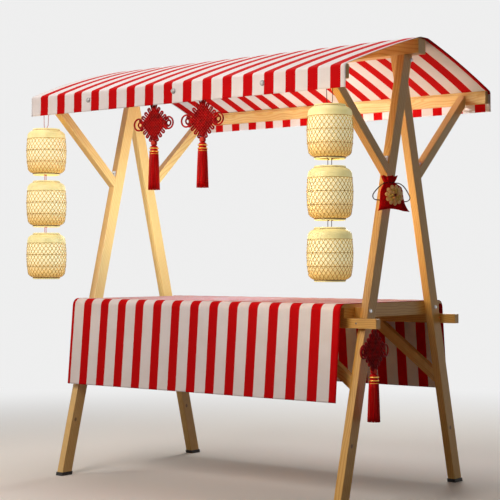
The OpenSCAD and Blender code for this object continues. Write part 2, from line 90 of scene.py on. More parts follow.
class Finish:
    """A material whose steps are added one call at a time."""

    def __init__(self, name, **shader):
        self.material = bpy.data.materials.new(name)
        self.material.use_nodes = True
        self.tree = self.material.node_tree
        self.shader = self.tree.nodes["Principled BSDF"]
        for socket, value in shader.items():
            self.shader.inputs[socket.replace("_", " ")].default_value = value

    def step(self, kind, sockets=(), **settings):
        node = self.tree.nodes.new(kind)
        for key, value in settings.items():
            setattr(node, key, value)
        for key, value in dict(sockets).items():
            if isinstance(value, bpy.types.NodeSocket):
                self.tree.links.new(value, node.inputs[key])
            else:
                node.inputs[key].default_value = value
        return node

    def math(self, operation, *values):
        return self.step("ShaderNodeMath", enumerate(values), operation=operation).outputs[0]

    def times(self, first, second):
        return self.math("MULTIPLY", first, second)

    def plus(self, first, second):
        return self.math("ADD", first, second)

    def minus(self, first, second):
        return self.math("SUBTRACT", first, second)

    def sine(self, value):
        return self.math("SINE", value)

    def vector(self, operation, *values):
        return self.step("ShaderNodeVectorMath", enumerate(values), operation=operation).outputs

    def spot(self, source="Object", location=(0, 0, 0), turn=(0, 0, 0)):
        coordinates = self.step("ShaderNodeTexCoord").outputs[source]
        sockets = {"Vector": coordinates, "Location": location, "Rotation": turn}
        return self.step("ShaderNodeMapping", sockets, vector_type="TEXTURE").outputs[0]

    def split(self, vector):
        return self.step("ShaderNodeSeparateXYZ", {"Vector": vector}).outputs

    def join(self, x, y, z):
        return self.step("ShaderNodeCombineXYZ", {"X": x, "Y": y, "Z": z}).outputs[0]

    def noise(self, vector, scale, detail=3, roughness=0.5):
        sockets = {"Vector": vector, "Scale": scale, "Detail": detail, "Roughness": roughness}
        return self.step("ShaderNodeTexNoise", sockets).outputs[0]

    def remap(self, value, low, high, to_low=0.0, to_high=1.0, smooth=False):
        sockets = {"Value": value, 1: low, 2: high, 3: to_low, 4: to_high}
        kind = "SMOOTHSTEP" if smooth else "LINEAR"
        return self.step("ShaderNodeMapRange", sockets, interpolation_type=kind).outputs[0]

    def blend(self, factor, first, second, mode="MIX"):
        node = self.step("ShaderNodeMix", data_type="RGBA", blend_type=mode)
        for index, value in ((0, factor), (6, first), (7, second)):
            if isinstance(value, bpy.types.NodeSocket):
                self.tree.links.new(value, node.inputs[index])
            else:
                node.inputs[index].default_value = value
        return node.outputs[2]

    def tinted(self, colour, tint):
        """The colour made a little darker or lighter by a value round 1."""
        return self.blend(1.0, colour, self.join(tint, tint, tint), "MULTIPLY")

    def send(self, socket, value):
        self.tree.links.new(value, self.shader.inputs[socket])

    def bump(self, height, distance, strength=1.0):
        sockets = {"Height": height, "Distance": distance, "Strength": strength}
        self.send("Normal", self.step("ShaderNodeBump", sockets).outputs[0])


def rgb(red, green, blue):
    """A colour as it is read off a screen, 0 to 255, as the linear values that nodes use."""
    parts = [c / 255 for c in (red, green, blue)]
    return [c / 12.92 if c <= 0.04045 else ((c + 0.055) / 1.055) ** 2.4 for c in parts] + [1]


# %% [markdown]
# ## Small tools for meshes
# Most pieces are built in a working mesh, often by turning a side outline round an upright axis,
# and then put into the scene.

# %% Small tools for meshes
def add_object(name, data):
    piece = bpy.data.objects.new(name, data)
    scene.collection.objects.link(piece)
    return piece


def mesh_from(name, bm, *materials):
    """The finished mesh with its materials; the working mesh is let go."""
    mesh = bpy.data.meshes.new(name)
    bm.to_mesh(mesh)
    bm.free()
    for material in materials:
        mesh.materials.append(material)
    return mesh


def shade_smooth(faces, material_index=None):
    for face in faces:
        face.smooth = True
        if material_index is not None:
            face.material_index = material_index


def spin_outline(bm, points, steps, closed=False):
    """Turns a side outline (radius, height) once round the upright axis."""
    chain = [bm.verts.new((radius, 0, height)) for radius, height in points]
    ring = chain[1:] + chain[:1] if closed else chain[1:]
    edges = [bm.edges.new(pair) for pair in zip(chain, ring)]
    bmesh.ops.spin(bm, geom=chain + edges, cent=(0, 0, 0), axis=(0, 0, 1), angle=2 * math.pi,
                   steps=steps, use_merge=True)


# %% [markdown]
# ## Floor, background and light
# The stall stands on a plain pale floor that fades into the background, so no horizon shows. The
# floor only looks pale: as a source of bounced light it is a dull brown and throws little back.
# Wide soft lamps light the stall from the front, from above and from behind. Small ones under the
# roof, like lamps over the goods, brighten the inner sides of the left-hand legs, the rear eave
# beam and the underside of the roof, and leave the outer sides of the right-hand legs dark.

# %% Floor and background
PALE = 0.86
FLOOR_R = 40
FADE_FROM = 1.4
FADE_TO = 5.0
FLOOR_SEEN = rgb(240, 238, 234)
FLOOR_BOUNCE = rgb(112, 94, 80)


def add_floor():
    bm = bmesh.new()
    bmesh.ops.create_circle(bm, cap_ends=True, segments=64, radius=FLOOR_R)
    mesh = mesh_from("floor", bm)
    floor = add_object("floor", mesh)
    finish = Finish("pale_floor", Roughness=0.85)
    far = finish.remap(finish.vector("LENGTH", finish.spot())[1], FADE_FROM, FADE_TO, smooth=True)
    path = finish.step("ShaderNodeLightPath").outputs
    seen = finish.math("MAXIMUM", path["Is Camera Ray"], path["Is Glossy Ray"])
    finish.send("Base Color", finish.blend(seen, FLOOR_BOUNCE, FLOOR_SEEN))
    glow = finish.step("ShaderNodeEmission", {"Color": (PALE, PALE, PALE, 1), "Strength": 1.0})
    mixed = finish.step("ShaderNodeMixShader", {0: finish.times(far, seen),
                                                1: finish.shader.outputs[0], 2: glow.outputs[0]})
    finish.tree.links.new(mixed.outputs[0], finish.tree.nodes["Material Output"].inputs[0])
    mesh.materials.append(finish.material)


def add_background(strength):
    world = bpy.data.worlds.new("background")
    scene.world = world
    world.use_nodes = True
    tree = world.node_tree
    lit = tree.nodes["Background"]
    lit.inputs["Color"].default_value = (1.0, 0.97, 0.93, 1)
    lit.inputs["Strength"].default_value = strength
    seen = tree.nodes.new("ShaderNodeBackground")
    seen.inputs["Color"].default_value = (PALE, PALE, PALE, 1)
    path = tree.nodes.new("ShaderNodeLightPath")
    either = tree.nodes.new("ShaderNodeMath")
    either.operation = "MAXIMUM"
    tree.links.new(path.outputs["Is Camera Ray"], either.inputs[0])
    tree.links.new(path.outputs["Is Glossy Ray"], either.inputs[1])
    mixed = tree.nodes.new("ShaderNodeMixShader")
    tree.links.new(either.outputs[0], mixed.inputs[0])
    tree.links.new(lit.outputs[0], mixed.inputs[1])
    tree.links.new(seen.outputs[0], mixed.inputs[2])
    tree.links.new(mixed.outputs[0], tree.nodes["World Output"].inputs[0])


def add_lamp(name, place, target, size, watts, colour, spread=180):
    data = bpy.data.lights.new(name, "AREA")
    data.shape = "DISK"
    data.size = size
    data.spread = math.radians(spread)
    data.energy = watts
    data.color = colour
    lamp = add_object(name, data)
    lamp.visible_camera = False
    lamp.location = place
    lamp.rotation_euler = (Vector(target) - Vector(place)).to_track_quat("-Z", "Y").to_euler()


add_floor()
add_background(0.07)
add_lamp("front", (0.1, -3.4, 3.0), (0, 0, 1.1), 1.6, 66, (1.0, 0.89, 0.82))
add_lamp("front_left", (-2.5, -2.5, 2.0), (0.5, 0, 1.2), 1.4, 19, (1.0, 0.88, 0.74))
add_lamp("front_right", (-0.2, -2.3, 1.35), (0.85, -0.15, 1.3), 0.4, 1.3, (1.0, 0.80, 0.56), 50)
add_lamp("under_roof", (0.4, -0.2, 1.15), (-0.8, 0.25, 1.28), 0.4, 5.2, (0.50, 0.80, 1.0), 95)
add_lamp("to_rear_beam", (-0.3, -0.4, 1.58), (0.45, 0.55, 1.72), 0.3, 2.0, (0.88, 0.98, 1.0), 80)
add_lamp("upward", (0.1, -0.1, 1.0), (0, 0.5, 1.9), 0.8, 7, (1.0, 0.68, 0.40))
add_lamp("overhead", (-0.7, 0.6, 5.5), (0, 0, 1.5), 2.4, 100, (1.0, 0.96, 0.92))
add_lamp("behind", (-1.5, 4.0, 2.4), (0, 0, 1.1), 1.6, 40, (1.0, 0.95, 0.88))

# %% [markdown]
# ## Pine
# The timber is planed pine under clear lacquer. Solid wood is best drawn as a solid pattern: rings
# round a pith that lies outside the bar, bent a little along the grain, cut by every face at once.
# Each bar has its own place and direction, so the rings run along it and no two bars match. Six
# bars, those in the strongest light, are given a paler pine as painted light.

# %% Pine
PINE_LIGHT = rgb(241, 193, 104)
PINE_DARK = rgb(218, 152, 62)
PINE_EDGE = rgb(248, 209, 128)
PINE_KNOT = rgb(128, 74, 34)
RING_GAP = 0.0075
# Paler pine for six bars that stands for the strong light on them: painted light, not another wood.
PINE_PAINTED_LIGHT_PALE = rgb(244, 207, 134)
PINE_PAINTED_LIGHT_DEEP = rgb(228, 175, 92)
PAINTED_LIGHT_BARS = ("leg_front_left", "leg_rear_left", "roof_brace_front_left", "roof_brace_rear_left",
                "roof_brace_rear_right", "eave_beam_rear")


def bar_turn(along, side):
    """The turn that lays x along a bar and y across it."""
    along = Vector(along).normalized()
    side = Vector(side).normalized()
    return Matrix((along, side, along.cross(side))).transposed().to_euler()


def pine(name, middle, turn, half_side, half_third, seed, light=PINE_LIGHT, dark=PINE_DARK):
    dice = random.Random(seed)
    finish = Finish(name, Roughness=0.42, Coat_Weight=0.12, Coat_Roughness=0.25)
    place = finish.spot(location=middle, turn=turn)
    along, side, third = finish.split(place)
    drift = finish.noise(finish.join(finish.times(along, 0.9), side, dice.uniform(0, 50)), 2.5, 2)
    bent = finish.times(finish.minus(drift, 0.5), 0.09)
    pith = [dice.uniform(0.05, 0.11) * dice.choice((-1, 1)) for _ in range(2)]
    from_pith = finish.vector("LENGTH", finish.join(0, finish.plus(side, pith[0]),
                                                    finish.plus(third, pith[1])))[1]
    ring = finish.times(finish.plus(from_pith, bent), 2 * math.pi / RING_GAP)
    late_wood = finish.remap(finish.sine(ring), 0.1, 1.0, 0.0, 0.75, smooth=True)
    fibre_place = finish.join(finish.times(along, 0.035), side, third)
    fibre = finish.noise(fibre_place, 420, 2, 0.6)
    cloud = finish.noise(finish.join(finish.times(along, 0.3), side, dice.uniform(0, 50)), 9, 2)
    wood = finish.blend(late_wood, light, dark)
    wood = finish.blend(finish.remap(fibre, 0.35, 0.75, 0.0, 0.35), wood, dark)
    shade = 1 + dice.uniform(-0.05, 0.05)
    tint = finish.remap(cloud, 0.3, 0.7, 0.90 * shade, 1.05 * shade)
    wood = finish.tinted(wood, tint)
    ends = finish.math("MINIMUM", finish.math("DIVIDE", finish.math("ABSOLUTE", side), half_side),
                       finish.math("DIVIDE", finish.math("ABSOLUTE", third), half_third))
    worn = finish.noise(place, 25, 3)
    edge = finish.times(finish.remap(ends, 0.90, 0.99), finish.remap(worn, 0.45, 0.65, 0.2, 0.8))
    wood = finish.blend(edge, wood, PINE_EDGE)
    branch = finish.step("ShaderNodeTexVoronoi", {
        "Vector": finish.join(finish.times(along, 0.8), side, third), "Scale": 3.1})
    knot = finish.remap(branch.outputs["Distance"], 0.016, 0.034, 1.0, 0.0, smooth=True)
    wood = finish.blend(finish.times(knot, 0.75), wood, PINE_KNOT)
    finish.send("Base Color", wood)
    finish.send("Roughness", finish.remap(fibre, 0.3, 0.7, 0.36, 0.52))
    finish.bump(finish.plus(fibre, finish.times(late_wood, 0.5)), 0.0004, 0.5)
    return finish.material


def soften_edges(piece, width):
    """Joins the solid's loose triangles and rounds its sharp edges a little, as planing does."""
    piece.modifiers.new("joined", "WELD").merge_threshold = 0.00002
    bevel = piece.modifiers.new("planed", "BEVEL")
    bevel.width = width
    bevel.segments = 2
    bevel.limit_method = "ANGLE"
    bevel.angle_limit = math.radians(35)


def dress(node, material, edge=0.0):
    piece = NODES[node]
    piece.data.materials.clear()
    piece.data.materials.append(material)
    if edge:
        soften_edges(piece, edge)


# %% Every bar of the frame, with the way its grain runs
LEAN = math.atan(0.98 / 2 / 1.9)
ROOF_BRACE = math.radians(42)
TABLE_BRACE = math.radians(37)
PLANED_EDGE = 0.0015
ENDS = {"left": -1, "right": 1}
SIDES = {"front": -1, "rear": 1}


def middle_of(node):
    low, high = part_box(node)
    return (low + high) / 2


def dress_bar(node, along, half_side, half_third, side=(1, 0, 0)):
    turn = bar_turn(along, side)
    seed = sum(ord(letter) * (index + 1) for index, letter in enumerate(node))
    # Bars in the strongest light get the paler pine as painted light.
    tones = (PINE_PAINTED_LIGHT_PALE, PINE_PAINTED_LIGHT_DEEP) if node in PAINTED_LIGHT_BARS else (PINE_LIGHT, PINE_DARK)
    wood = pine(node + "_pine", middle_of(node), turn, half_side, half_third, seed, *tones)
    dress(node, wood, PLANED_EDGE)


for end, x_sign in ENDS.items():
    for side, y_sign in SIDES.items():
        dress_bar(f"leg_{side}_{end}", (0, -y_sign * math.sin(LEAN), math.cos(LEAN)), 0.018, 0.030)
        dress_bar(f"roof_brace_{side}_{end}",
                  (0, y_sign * math.cos(ROOF_BRACE), math.sin(ROOF_BRACE)), 0.018, 0.021)
        dress_bar(f"table_brace_{side}_{end}",
                  (-x_sign * math.cos(TABLE_BRACE), 0, math.sin(TABLE_BRACE)), 0.016, 0.0225, (0, 1, 0))
    dress_bar(f"table_board_{end}", (0, 1, 0), 0.012, 0.0225)
for beam, half_side, half_third in (
        ("ridge_beam", 0.029, 0.0325), ("eave_beam_front", 0.012, 0.029), ("eave_beam_rear", 0.012, 0.029),
        ("table_rail_front", 0.016, 0.0205), ("table_rail_rear", 0.016, 0.0205)):
    dress_bar(beam, (1, 0, 0), half_side, half_third, (0, 1, 0))
dress_bar("table_top", (1, 0, 0), 0.44, 0.0065, (0, 1, 0))
dress_bar("table_cross_boards", (0, 1, 0), 0.3, 0.0225)
dress_bar("spacer_blocks", (0, 1, 0), 0.8, 0.0225)
print("pine bars dressed:", sum("pine" in m.name for m in bpy.data.materials))

# %% [markdown]
# ## Sheets cut from one outline
# Both cloths are cotton cut in one piece and laid over something: the roof cloth over three beams,
# the table cloth over a board with rounded edges. A sheet is its side outline drawn out along X.
# Each point keeps how far it lies along the cloth, so stripes and stitches follow every fold.

# %% Tools for sheets
STALL_Y = 0.0401
HEM = 0.012
HEM_RAISED = 0.0006
CLOTH_THICK = 0.0012
A_HAIR = 0.0001


def arc(middle, radius, start, stop, steps):
    """Points of an arc in the side view; angles are degrees from upright."""
    turns = [math.radians(start + (stop - start) * i / steps) for i in range(steps + 1)]
    return [(middle[0] + radius * math.sin(a), middle[1] + radius * math.cos(a)) for a in turns]


def straight(first, last, steps):
    return [(first[0] + (last[0] - first[0]) * i / steps, first[1] + (last[1] - first[1]) * i / steps)
            for i in range(1, steps + 1)]


def cut_across(bm, place, facing):
    """A line of new points where the plane meets the sheet."""
    everything = bm.verts[:] + bm.edges[:] + bm.faces[:]
    bmesh.ops.bisect_plane(bm, geom=everything, plane_co=place, plane_no=facing, dist=1e-5)


def draw_out(points, x_low, x_high, cuts):
    """A sheet: the outline drawn out along X in even steps, with its own lengths kept in "run"."""
    bm = bmesh.new()
    run = bm.verts.layers.float.new("run")
    chain = [bm.verts.new((x_low, y + STALL_Y, z)) for y, z in points]
    walked = 0.0
    for before, vert in zip(chain, chain[1:]):
        walked += (vert.co - before.co).length
        vert[run] = walked
    edges = [bm.edges.new(pair) for pair in zip(chain, chain[1:])]
    drawn = bmesh.ops.extrude_edge_only(bm, edges=edges)["geom"]
    far_side = [part for part in drawn if isinstance(part, bmesh.types.BMVert)]
    bmesh.ops.translate(bm, vec=(x_high - x_low, 0, 0), verts=far_side)
    across = [e for e in bm.edges if abs(e.verts[0].co.x - e.verts[1].co.x) > 0.001]
    bmesh.ops.subdivide_edges(bm, edges=across, cuts=cuts, use_grid_fill=True)
    for x in (x_low + HEM, x_high - HEM):
        cut_across(bm, (x, 0, 0), (1, 0, 0))
    bm.normal_update()
    if max(bm.faces, key=lambda f: f.calc_center_median().z).normal.z < 0:
        bmesh.ops.reverse_faces(bm, faces=bm.faces)
    return bm, run, walked


def lay_flat(bm, run):
    """UV: metres along the stall and metres along the cloth."""
    flat = bm.loops.layers.uv.new("flat")
    for face in bm.faces:
        for loop in face.loops:
            loop[flat].uv = (loop.vert.co.x, loop.vert[run])


def thicken(piece, thick):
    body = piece.modifiers.new("thickness", "SOLIDIFY")
    body.thickness = thick
    body.offset = 0


def finish_sheet(name, bm, material):
    shade_smooth(bm.faces)
    piece = add_object(name, mesh_from(name, bm, material))
    thicken(piece, CLOTH_THICK)
    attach(piece, "root")
    return piece


# %% [markdown]
# ## Striped cotton
# The stripes are dyed, so they are exact to a thread, and the weave shows close up as a fine
# over-and-under relief. The red is faded and the white is soiled a little, in soft patches.

# %% Striped cotton
RED = rgb(206, 8, 14)
RED_FADED = rgb(210, 20, 20)
WHITE = rgb(245, 240, 242)
WHITE_SOILED = rgb(232, 221, 217)
RED_WIDTH = 0.0500
THREAD_GAP = 0.0012
BLEED = 0.0006


def striped_cotton(name, first_red, pitch, panel=None):
    """Woven stripes. A panel (first run, last run) is sewn in with its stripes half a pitch along."""
    finish = Finish(name, Roughness=0.8, Sheen_Weight=0.03, Sheen_Roughness=0.35, Specular_IOR_Level=0.06)
    along, run, _ = finish.split(finish.spot("UV"))
    if panel:
        inside = finish.times(finish.math("GREATER_THAN", run, panel[0]),
                              finish.math("LESS_THAN", run, panel[1]))
        along = finish.minus(along, finish.times(inside, pitch / 2))
    threads = finish.noise(finish.join(finish.times(along, 60), run, 0), 18, 2)
    wander = finish.times(finish.minus(threads, 0.5), BLEED)
    from_first = finish.minus(finish.plus(along, wander), first_red)
    phase = finish.math("FRACT", finish.math("DIVIDE", from_first, pitch))
    soft = BLEED / pitch
    last = RED_WIDTH / pitch
    red = finish.times(finish.remap(phase, 0, soft), finish.remap(phase, last, last + soft, 1, 0))
    wash = finish.noise(finish.join(along, run, 0), 6, 4, 0.6)
    fibre = finish.noise(finish.join(along, run, 0), 900, 2, 0.7)
    red_cloth = finish.blend(finish.remap(wash, 0.4, 0.75, 0, 0.5), RED, RED_FADED)
    white_cloth = finish.blend(finish.remap(wash, 0.42, 0.8, 0, 0.6), WHITE, WHITE_SOILED)
    colour = finish.blend(red, white_cloth, red_cloth)
    speck = finish.remap(fibre, 0.25, 0.75, 0.93, 1.05)
    colour = finish.tinted(colour, speck)
    finish.send("Base Color", colour)
    per_thread = 2 * math.pi / THREAD_GAP
    over = finish.sine(finish.times(along, per_thread))
    under = finish.sine(finish.times(run, per_thread))
    weave = finish.plus(finish.times(over, under), fibre)
    finish.bump(weave, 0.00012, 0.5)
    return finish.material


table_cotton = striped_cotton("table_cotton", -0.7234, 0.11114)

# %% [markdown]
# ## The roof cloth
# One taut sheet from valance to valance. It lies on the flat top of the ridge beam, arches a
# little on its way down, because stretched cotton is tighter across than along, and turns over
# the rounded edges of the eave beams. The slopes bow more at the left end, where it is slacker.
# The rear slope is a panel of its own, whose stripes stand half a pitch off those of the rest, and
# at its right-hand end the cloth reaches a little further past the beams.

# %% The roof cloth
LIFT = 0.0012
EAVE_OUT = 0.5767
RIDGE_TOP = (0.029, 1.9653)
FOLD = (0.5627, 1.7804)
FOLD_R = 0.0143
ROOF_PITCH = math.radians(17.3)
CROWN = 0.009
VALANCE_LOW = 1.7
ROOF_HALF_X = 0.902
SLACK = 0.0035
RIPPLE = 0.0012
LOOSE_FROM = 1.75
VALANCE_SWAY = 0.0018
REAR_REACH = 0.010
REACH_FROM = 0.89


def roof_outline():
    run = FOLD[0] + FOLD_R * math.sin(ROOF_PITCH) - RIDGE_TOP[0]
    rise = RIDGE_TOP[1] - FOLD[1] - FOLD_R * math.cos(ROOF_PITCH)
    bow = 2 * math.atan(2 * CROWN / math.hypot(run, rise))
    tilt = math.atan(rise / run)
    radius = math.hypot(run, rise) / 2 / math.sin(bow)
    middle = (RIDGE_TOP[0] - radius * math.sin(tilt - bow), RIDGE_TOP[1] - radius * math.cos(tilt - bow))
    half = arc(middle, radius + LIFT, math.degrees(tilt - bow), math.degrees(tilt + bow), 34)
    half = half + arc(FOLD, FOLD_R + LIFT, math.degrees(tilt + bow), 90, 6)[1:]
    half = half + straight(half[-1], (half[-1][0], VALANCE_LOW + HEM), 5)
    half = half + straight(half[-1], (half[-1][0], VALANCE_LOW), 2)
    rear = [(0, half[0][1])] + half
    return [(-y, z) for y, z in reversed(half)] + rear


roof_points = roof_outline()
bm, run, roof_run = draw_out(roof_points, -ROOF_HALF_X, ROOF_HALF_X, 90)
lay_flat(bm, run)
VALANCE_RUN = FOLD[1] - VALANCE_LOW
roof_cotton = striped_cotton("roof_cotton", -0.8414, 0.11126, (roof_run / 2, roof_run - VALANCE_RUN))
for vert in bm.verts:
    y = vert.co.y - STALL_Y
    down = (abs(y) - RIDGE_TOP[0]) / (FOLD[0] - RIDGE_TOP[0])
    normal = vert.normal.copy()
    if 0 < down < 1:
        free = math.sin(math.pi * down)
        slack = -SLACK * vert.co.x / ROOF_HALF_X * (1.2 if y < 0 else 0.4)
        ripple = RIPPLE * noise.noise((vert.co.x * 4, y * 2, 1.7))
        vert.co.z += free * (slack + ripple)
    elif vert.co.z < LOOSE_FROM:
        loose = (LOOSE_FROM - vert.co.z) / (LOOSE_FROM - VALANCE_LOW)
        sway = 0.6 + noise.noise((vert.co.x * 5, y * 9, 0.3))
        vert.co.y += math.copysign(VALANCE_SWAY, y) * loose * sway
    near_end = ROOF_HALF_X - abs(vert.co.x) < HEM + A_HAIR
    near_foot = vert.co.z < VALANCE_LOW + HEM + A_HAIR
    if near_end or near_foot:
        vert.co += normal * HEM_RAISED
    to_rear = min(max(1 + (y + RIDGE_TOP[0]) / 0.15, 0), 1)
    to_end = max(vert.co.x / ROOF_HALF_X - REACH_FROM, 0) / (1 - REACH_FROM)
    vert.co.x += REAR_REACH * to_rear * to_end
roof_cloth = finish_sheet("roof_cloth", bm, roof_cotton)
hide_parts("roof_canopy")
print("roof cloth:", len(roof_cloth.data.polygons), "faces,", round(roof_run, 3), "m from hem to hem")

# %% [markdown]
# ## The table cloth
# It lies on the table, turns the long rounded edges and hangs down in two drops that stand out a
# little from upright, stiff and nearly without folds. The left-hand end is cut out between the
# legs, where a tongue of cloth reaches past them on either side.

# %% The table cloth
TABLE_FOLD = (0.374, 0.801)
TABLE_FOLD_R = 0.0360
DROP_FLARE = math.radians(4.8)
DROP_LOW = 0.430
TABLE_X = (-0.7997, 0.7587)
NOTCH = (-0.7587, 0.3174)
DROP_WAVE = 0.006
REAR_DROP_OUT = 0.008


def table_outline():
    half = arc(TABLE_FOLD, TABLE_FOLD_R - 0.0018, 0, 90 - math.degrees(DROP_FLARE), 9)
    leaves = half[-1]
    reach = math.tan(DROP_FLARE)
    hem_y = leaves[0] + (leaves[1] - DROP_LOW - HEM) * reach
    half = half + straight(leaves, (hem_y, DROP_LOW + HEM), 22)
    half = half + straight(half[-1], (half[-1][0] + HEM * reach, DROP_LOW), 2)
    top = straight((0, half[0][1]), half[0], 24)[:-1]
    rear = [(0, half[0][1])] + top + half
    return [(-y, z) for y, z in reversed(rear[1:])] + rear


table_points = table_outline()
bm, run, table_run = draw_out(table_points, *TABLE_X, 84)
cut_across(bm, (NOTCH[0], 0, 0), (1, 0, 0))
for sign in (1, -1):
    cut_across(bm, (0, STALL_Y + sign * NOTCH[1], 0), (0, 1, 0))
cut_out = [f for f in bm.faces if f.calc_center_median().x < NOTCH[0]
           and abs(f.calc_center_median().y - STALL_Y) < NOTCH[1]]
bmesh.ops.delete(bm, geom=cut_out, context="FACES")
lay_flat(bm, run)
bm.normal_update()
for vert in bm.verts:
    y = vert.co.y - STALL_Y
    normal = vert.normal.copy()
    if vert.co.z < TABLE_FOLD[1]:
        hang = (TABLE_FOLD[1] - vert.co.z) / (TABLE_FOLD[1] - DROP_LOW)
        wave = noise.noise((vert.co.x * 2.2, 3.1 if y < 0 else 8.4, vert.co.z * 0.8))
        out = DROP_WAVE * wave + (REAR_DROP_OUT if y > 0 else 0)
        vert.co.y += math.copysign(1, y) * hang * out
    near_end = min(vert.co.x - TABLE_X[0], TABLE_X[1] - vert.co.x) < HEM + A_HAIR
    if near_end or vert.co.z < DROP_LOW + HEM + A_HAIR:
        vert.co += normal * HEM_RAISED
table_cloth = finish_sheet("striped_table_cloth", bm, table_cotton)
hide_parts("table_cloth")
print("table cloth:", len(table_cloth.data.polygons), "faces,", round(table_run, 3), "m from hem to hem")

# %% [markdown]
# ## The lanterns
# Each is a barrel of split bamboo: 30 strips climb one way and 30 the other, over and under in
# turn, held by three hoops, with a close-woven collar at the shoulder and a rolled rim at each
# mouth. Inside is a paper lining; the lamp behind it is not modelled, and its light is painted on
# as a glow of the lining and the bamboo. One strip is a small section spun round the axis while it
# climbs; a copy of that strip every twelve degrees makes the whole weave.

# %% Bamboo, rims and lining
def soft_bamboo(name, pale, dark, scale, glow=0.0):
    """Split bamboo; glow is the lamp's light that comes through a thin strip."""
    finish = Finish(name, Roughness=0.5, Coat_Weight=0.1, Coat_Roughness=0.3, Emission_Strength=glow)
    place = finish.spot("UV")
    around, up, _ = finish.split(place)
    fibre = finish.noise(finish.join(around, finish.times(up, 0.05), 0), scale, 3, 0.6)
    patch = finish.noise(finish.spot(), 26, 3)
    colour = finish.blend(finish.remap(fibre, 0.3, 0.7), pale, dark)
    tint = finish.remap(patch, 0.3, 0.7, 0.86, 1.08)
    colour = finish.tinted(colour, tint)
    finish.send("Base Color", colour)
    finish.send("Emission Color", colour)
    finish.bump(fibre, 0.0003, 0.6)
    return finish.material


def lining(name):
    """Paper with the lamp's light painted on as a glow, whiter behind the belly and darker and more golden
    towards the lower rim.
    """
    finish = Finish(name, Roughness=0.7)
    place = finish.spot("UV")
    around, up, _ = finish.split(place)
    low = finish.remap(up, -0.10, -0.01, 1.0, 0.0, smooth=True)
    pulp = finish.noise(finish.join(around, up, 0), 160, 3)
    colour = finish.blend(finish.remap(pulp, 0.35, 0.75, 0, 0.4), rgb(250, 241, 198), rgb(242, 226, 160))
    # Painted shade: the glow turns darker and more golden towards the lower rim.
    colour = finish.blend(finish.times(low, 0.8), colour, rgb(230, 180, 80))
    finish.send("Base Color", colour)
    # Painted light: the lining glows with the light of a lamp that is not modelled.
    finish.send("Emission Color", colour)
    finish.shader.inputs["Emission Strength"].default_value = 0.55
    finish.bump(pulp, 0.0004, 0.4)
    return finish.material


strip_bamboo = soft_bamboo("strip_bamboo", rgb(222, 190, 98), rgb(188, 150, 62), 900, 0.10)
collar_bamboo = soft_bamboo("collar_bamboo", rgb(246, 236, 176), rgb(232, 214, 136), 900, 0.40)
hoop_bamboo = soft_bamboo("hoop_bamboo", rgb(212, 176, 94), rgb(170, 130, 58), 900, 0.12)
rim_bamboo = soft_bamboo("rim_bamboo", rgb(168, 118, 46), rgb(104, 66, 22), 900)
lantern_paper = lining("lantern_paper")
LANTERN_SKINS = [strip_bamboo, collar_bamboo, rim_bamboo, lantern_paper, hoop_bamboo]
STRIP, COLLAR, RIM, PAPER, HOOP = range(5)

# %% One lantern, then six
LANTERN_R = 0.094
COLLAR_Z = 0.061
STRIPS = 30
CELL = 0.027
BELLY_CURVE = 5.2
SHOULDER_R = 0.042
STRIP_WIDTH = 0.0042
STRIP_THICK = 0.0008
WEAVE_DEPTH = 0.0007
MOUTH_Z = 0.106
STICK_R = 0.0022
STICK_LONG = 0.118


def barrel(z):
    """Radius of the barrel's outside at a height over its middle."""
    belly = LANTERN_R * (1 - BELLY_CURVE) + math.sqrt((LANTERN_R * BELLY_CURVE) ** 2 - z * z)
    past = max(abs(z) - COLLAR_Z, 0)
    shoulder = LANTERN_R - SHOULDER_R + math.sqrt(max(SHOULDER_R ** 2 - past * past, 0.0))
    return min(belly, shoulder)


def spun(bm, points, skin, closed=True):
    """A ring or shell: a side outline (radius, height) spun round the lantern's axis."""
    before = len(bm.faces)
    spin_outline(bm, points, 48, closed)
    bm.faces.ensure_lookup_table()
    shade_smooth(bm.faces[before:], skin)


def woven_strip(bm, way, low, high, steps=40):
    """One strip that climbs round the barrel, and its copies all the way round."""
    before = len(bm.faces)
    turn = way * 2 * math.pi / STRIPS * (high - low) / CELL
    edge = STRIP_WIDTH / 2
    corners = ((-STRIP_THICK, -edge), (0, -edge), (0, edge), (-STRIP_THICK, edge))
    chain = [bm.verts.new((LANTERN_R + r, 0, low + z)) for r, z in corners]
    edges = [bm.edges.new((chain[i], chain[(i + 1) % 4])) for i in range(4)]
    bmesh.ops.spin(bm, geom=chain + edges, cent=(0, 0, 0), axis=(0, 0, 1), angle=turn, steps=steps,
                   dvec=(0, 0, (high - low) / steps))
    bm.faces.ensure_lookup_table()
    strip = bm.faces[before:]
    for face in strip:
        face.material_index = STRIP
    for vert in {v for face in strip for v in face.verts}:
        z = vert.co.z
        flat = Vector((vert.co.x, vert.co.y, 0))
        step_out = flat.length - LANTERN_R
        wave = way * WEAVE_DEPTH * math.cos(2 * math.pi * z / CELL)
        flat = flat.normalized() * (barrel(z) - STRIP_THICK + step_out + wave)
        vert.co = (flat.x, flat.y, z)
    geom = list({v for f in strip for v in f.verts}) + list({e for f in strip for e in f.edges}) + strip
    bmesh.ops.spin(bm, geom=geom, cent=(0, 0, 0), axis=(0, 0, 1),
                   angle=2 * math.pi * (STRIPS - 1) / STRIPS, steps=STRIPS - 1, use_duplicate=True)


def section(radius, z, width, height, corner):
    """A rounded rectangle in the side view, for rims and hoops."""
    points = []
    for x_side, z_side in ((1, 1), (-1, 1), (-1, -1), (1, -1)):
        for step in range(3):
            a = math.atan2(z_side, x_side) + (step - 1) * math.radians(40)
            points.append((radius + x_side * (width / 2 - corner) + corner * math.cos(a),
                           z + z_side * (height / 2 - corner) + corner * math.sin(a)))
    return points


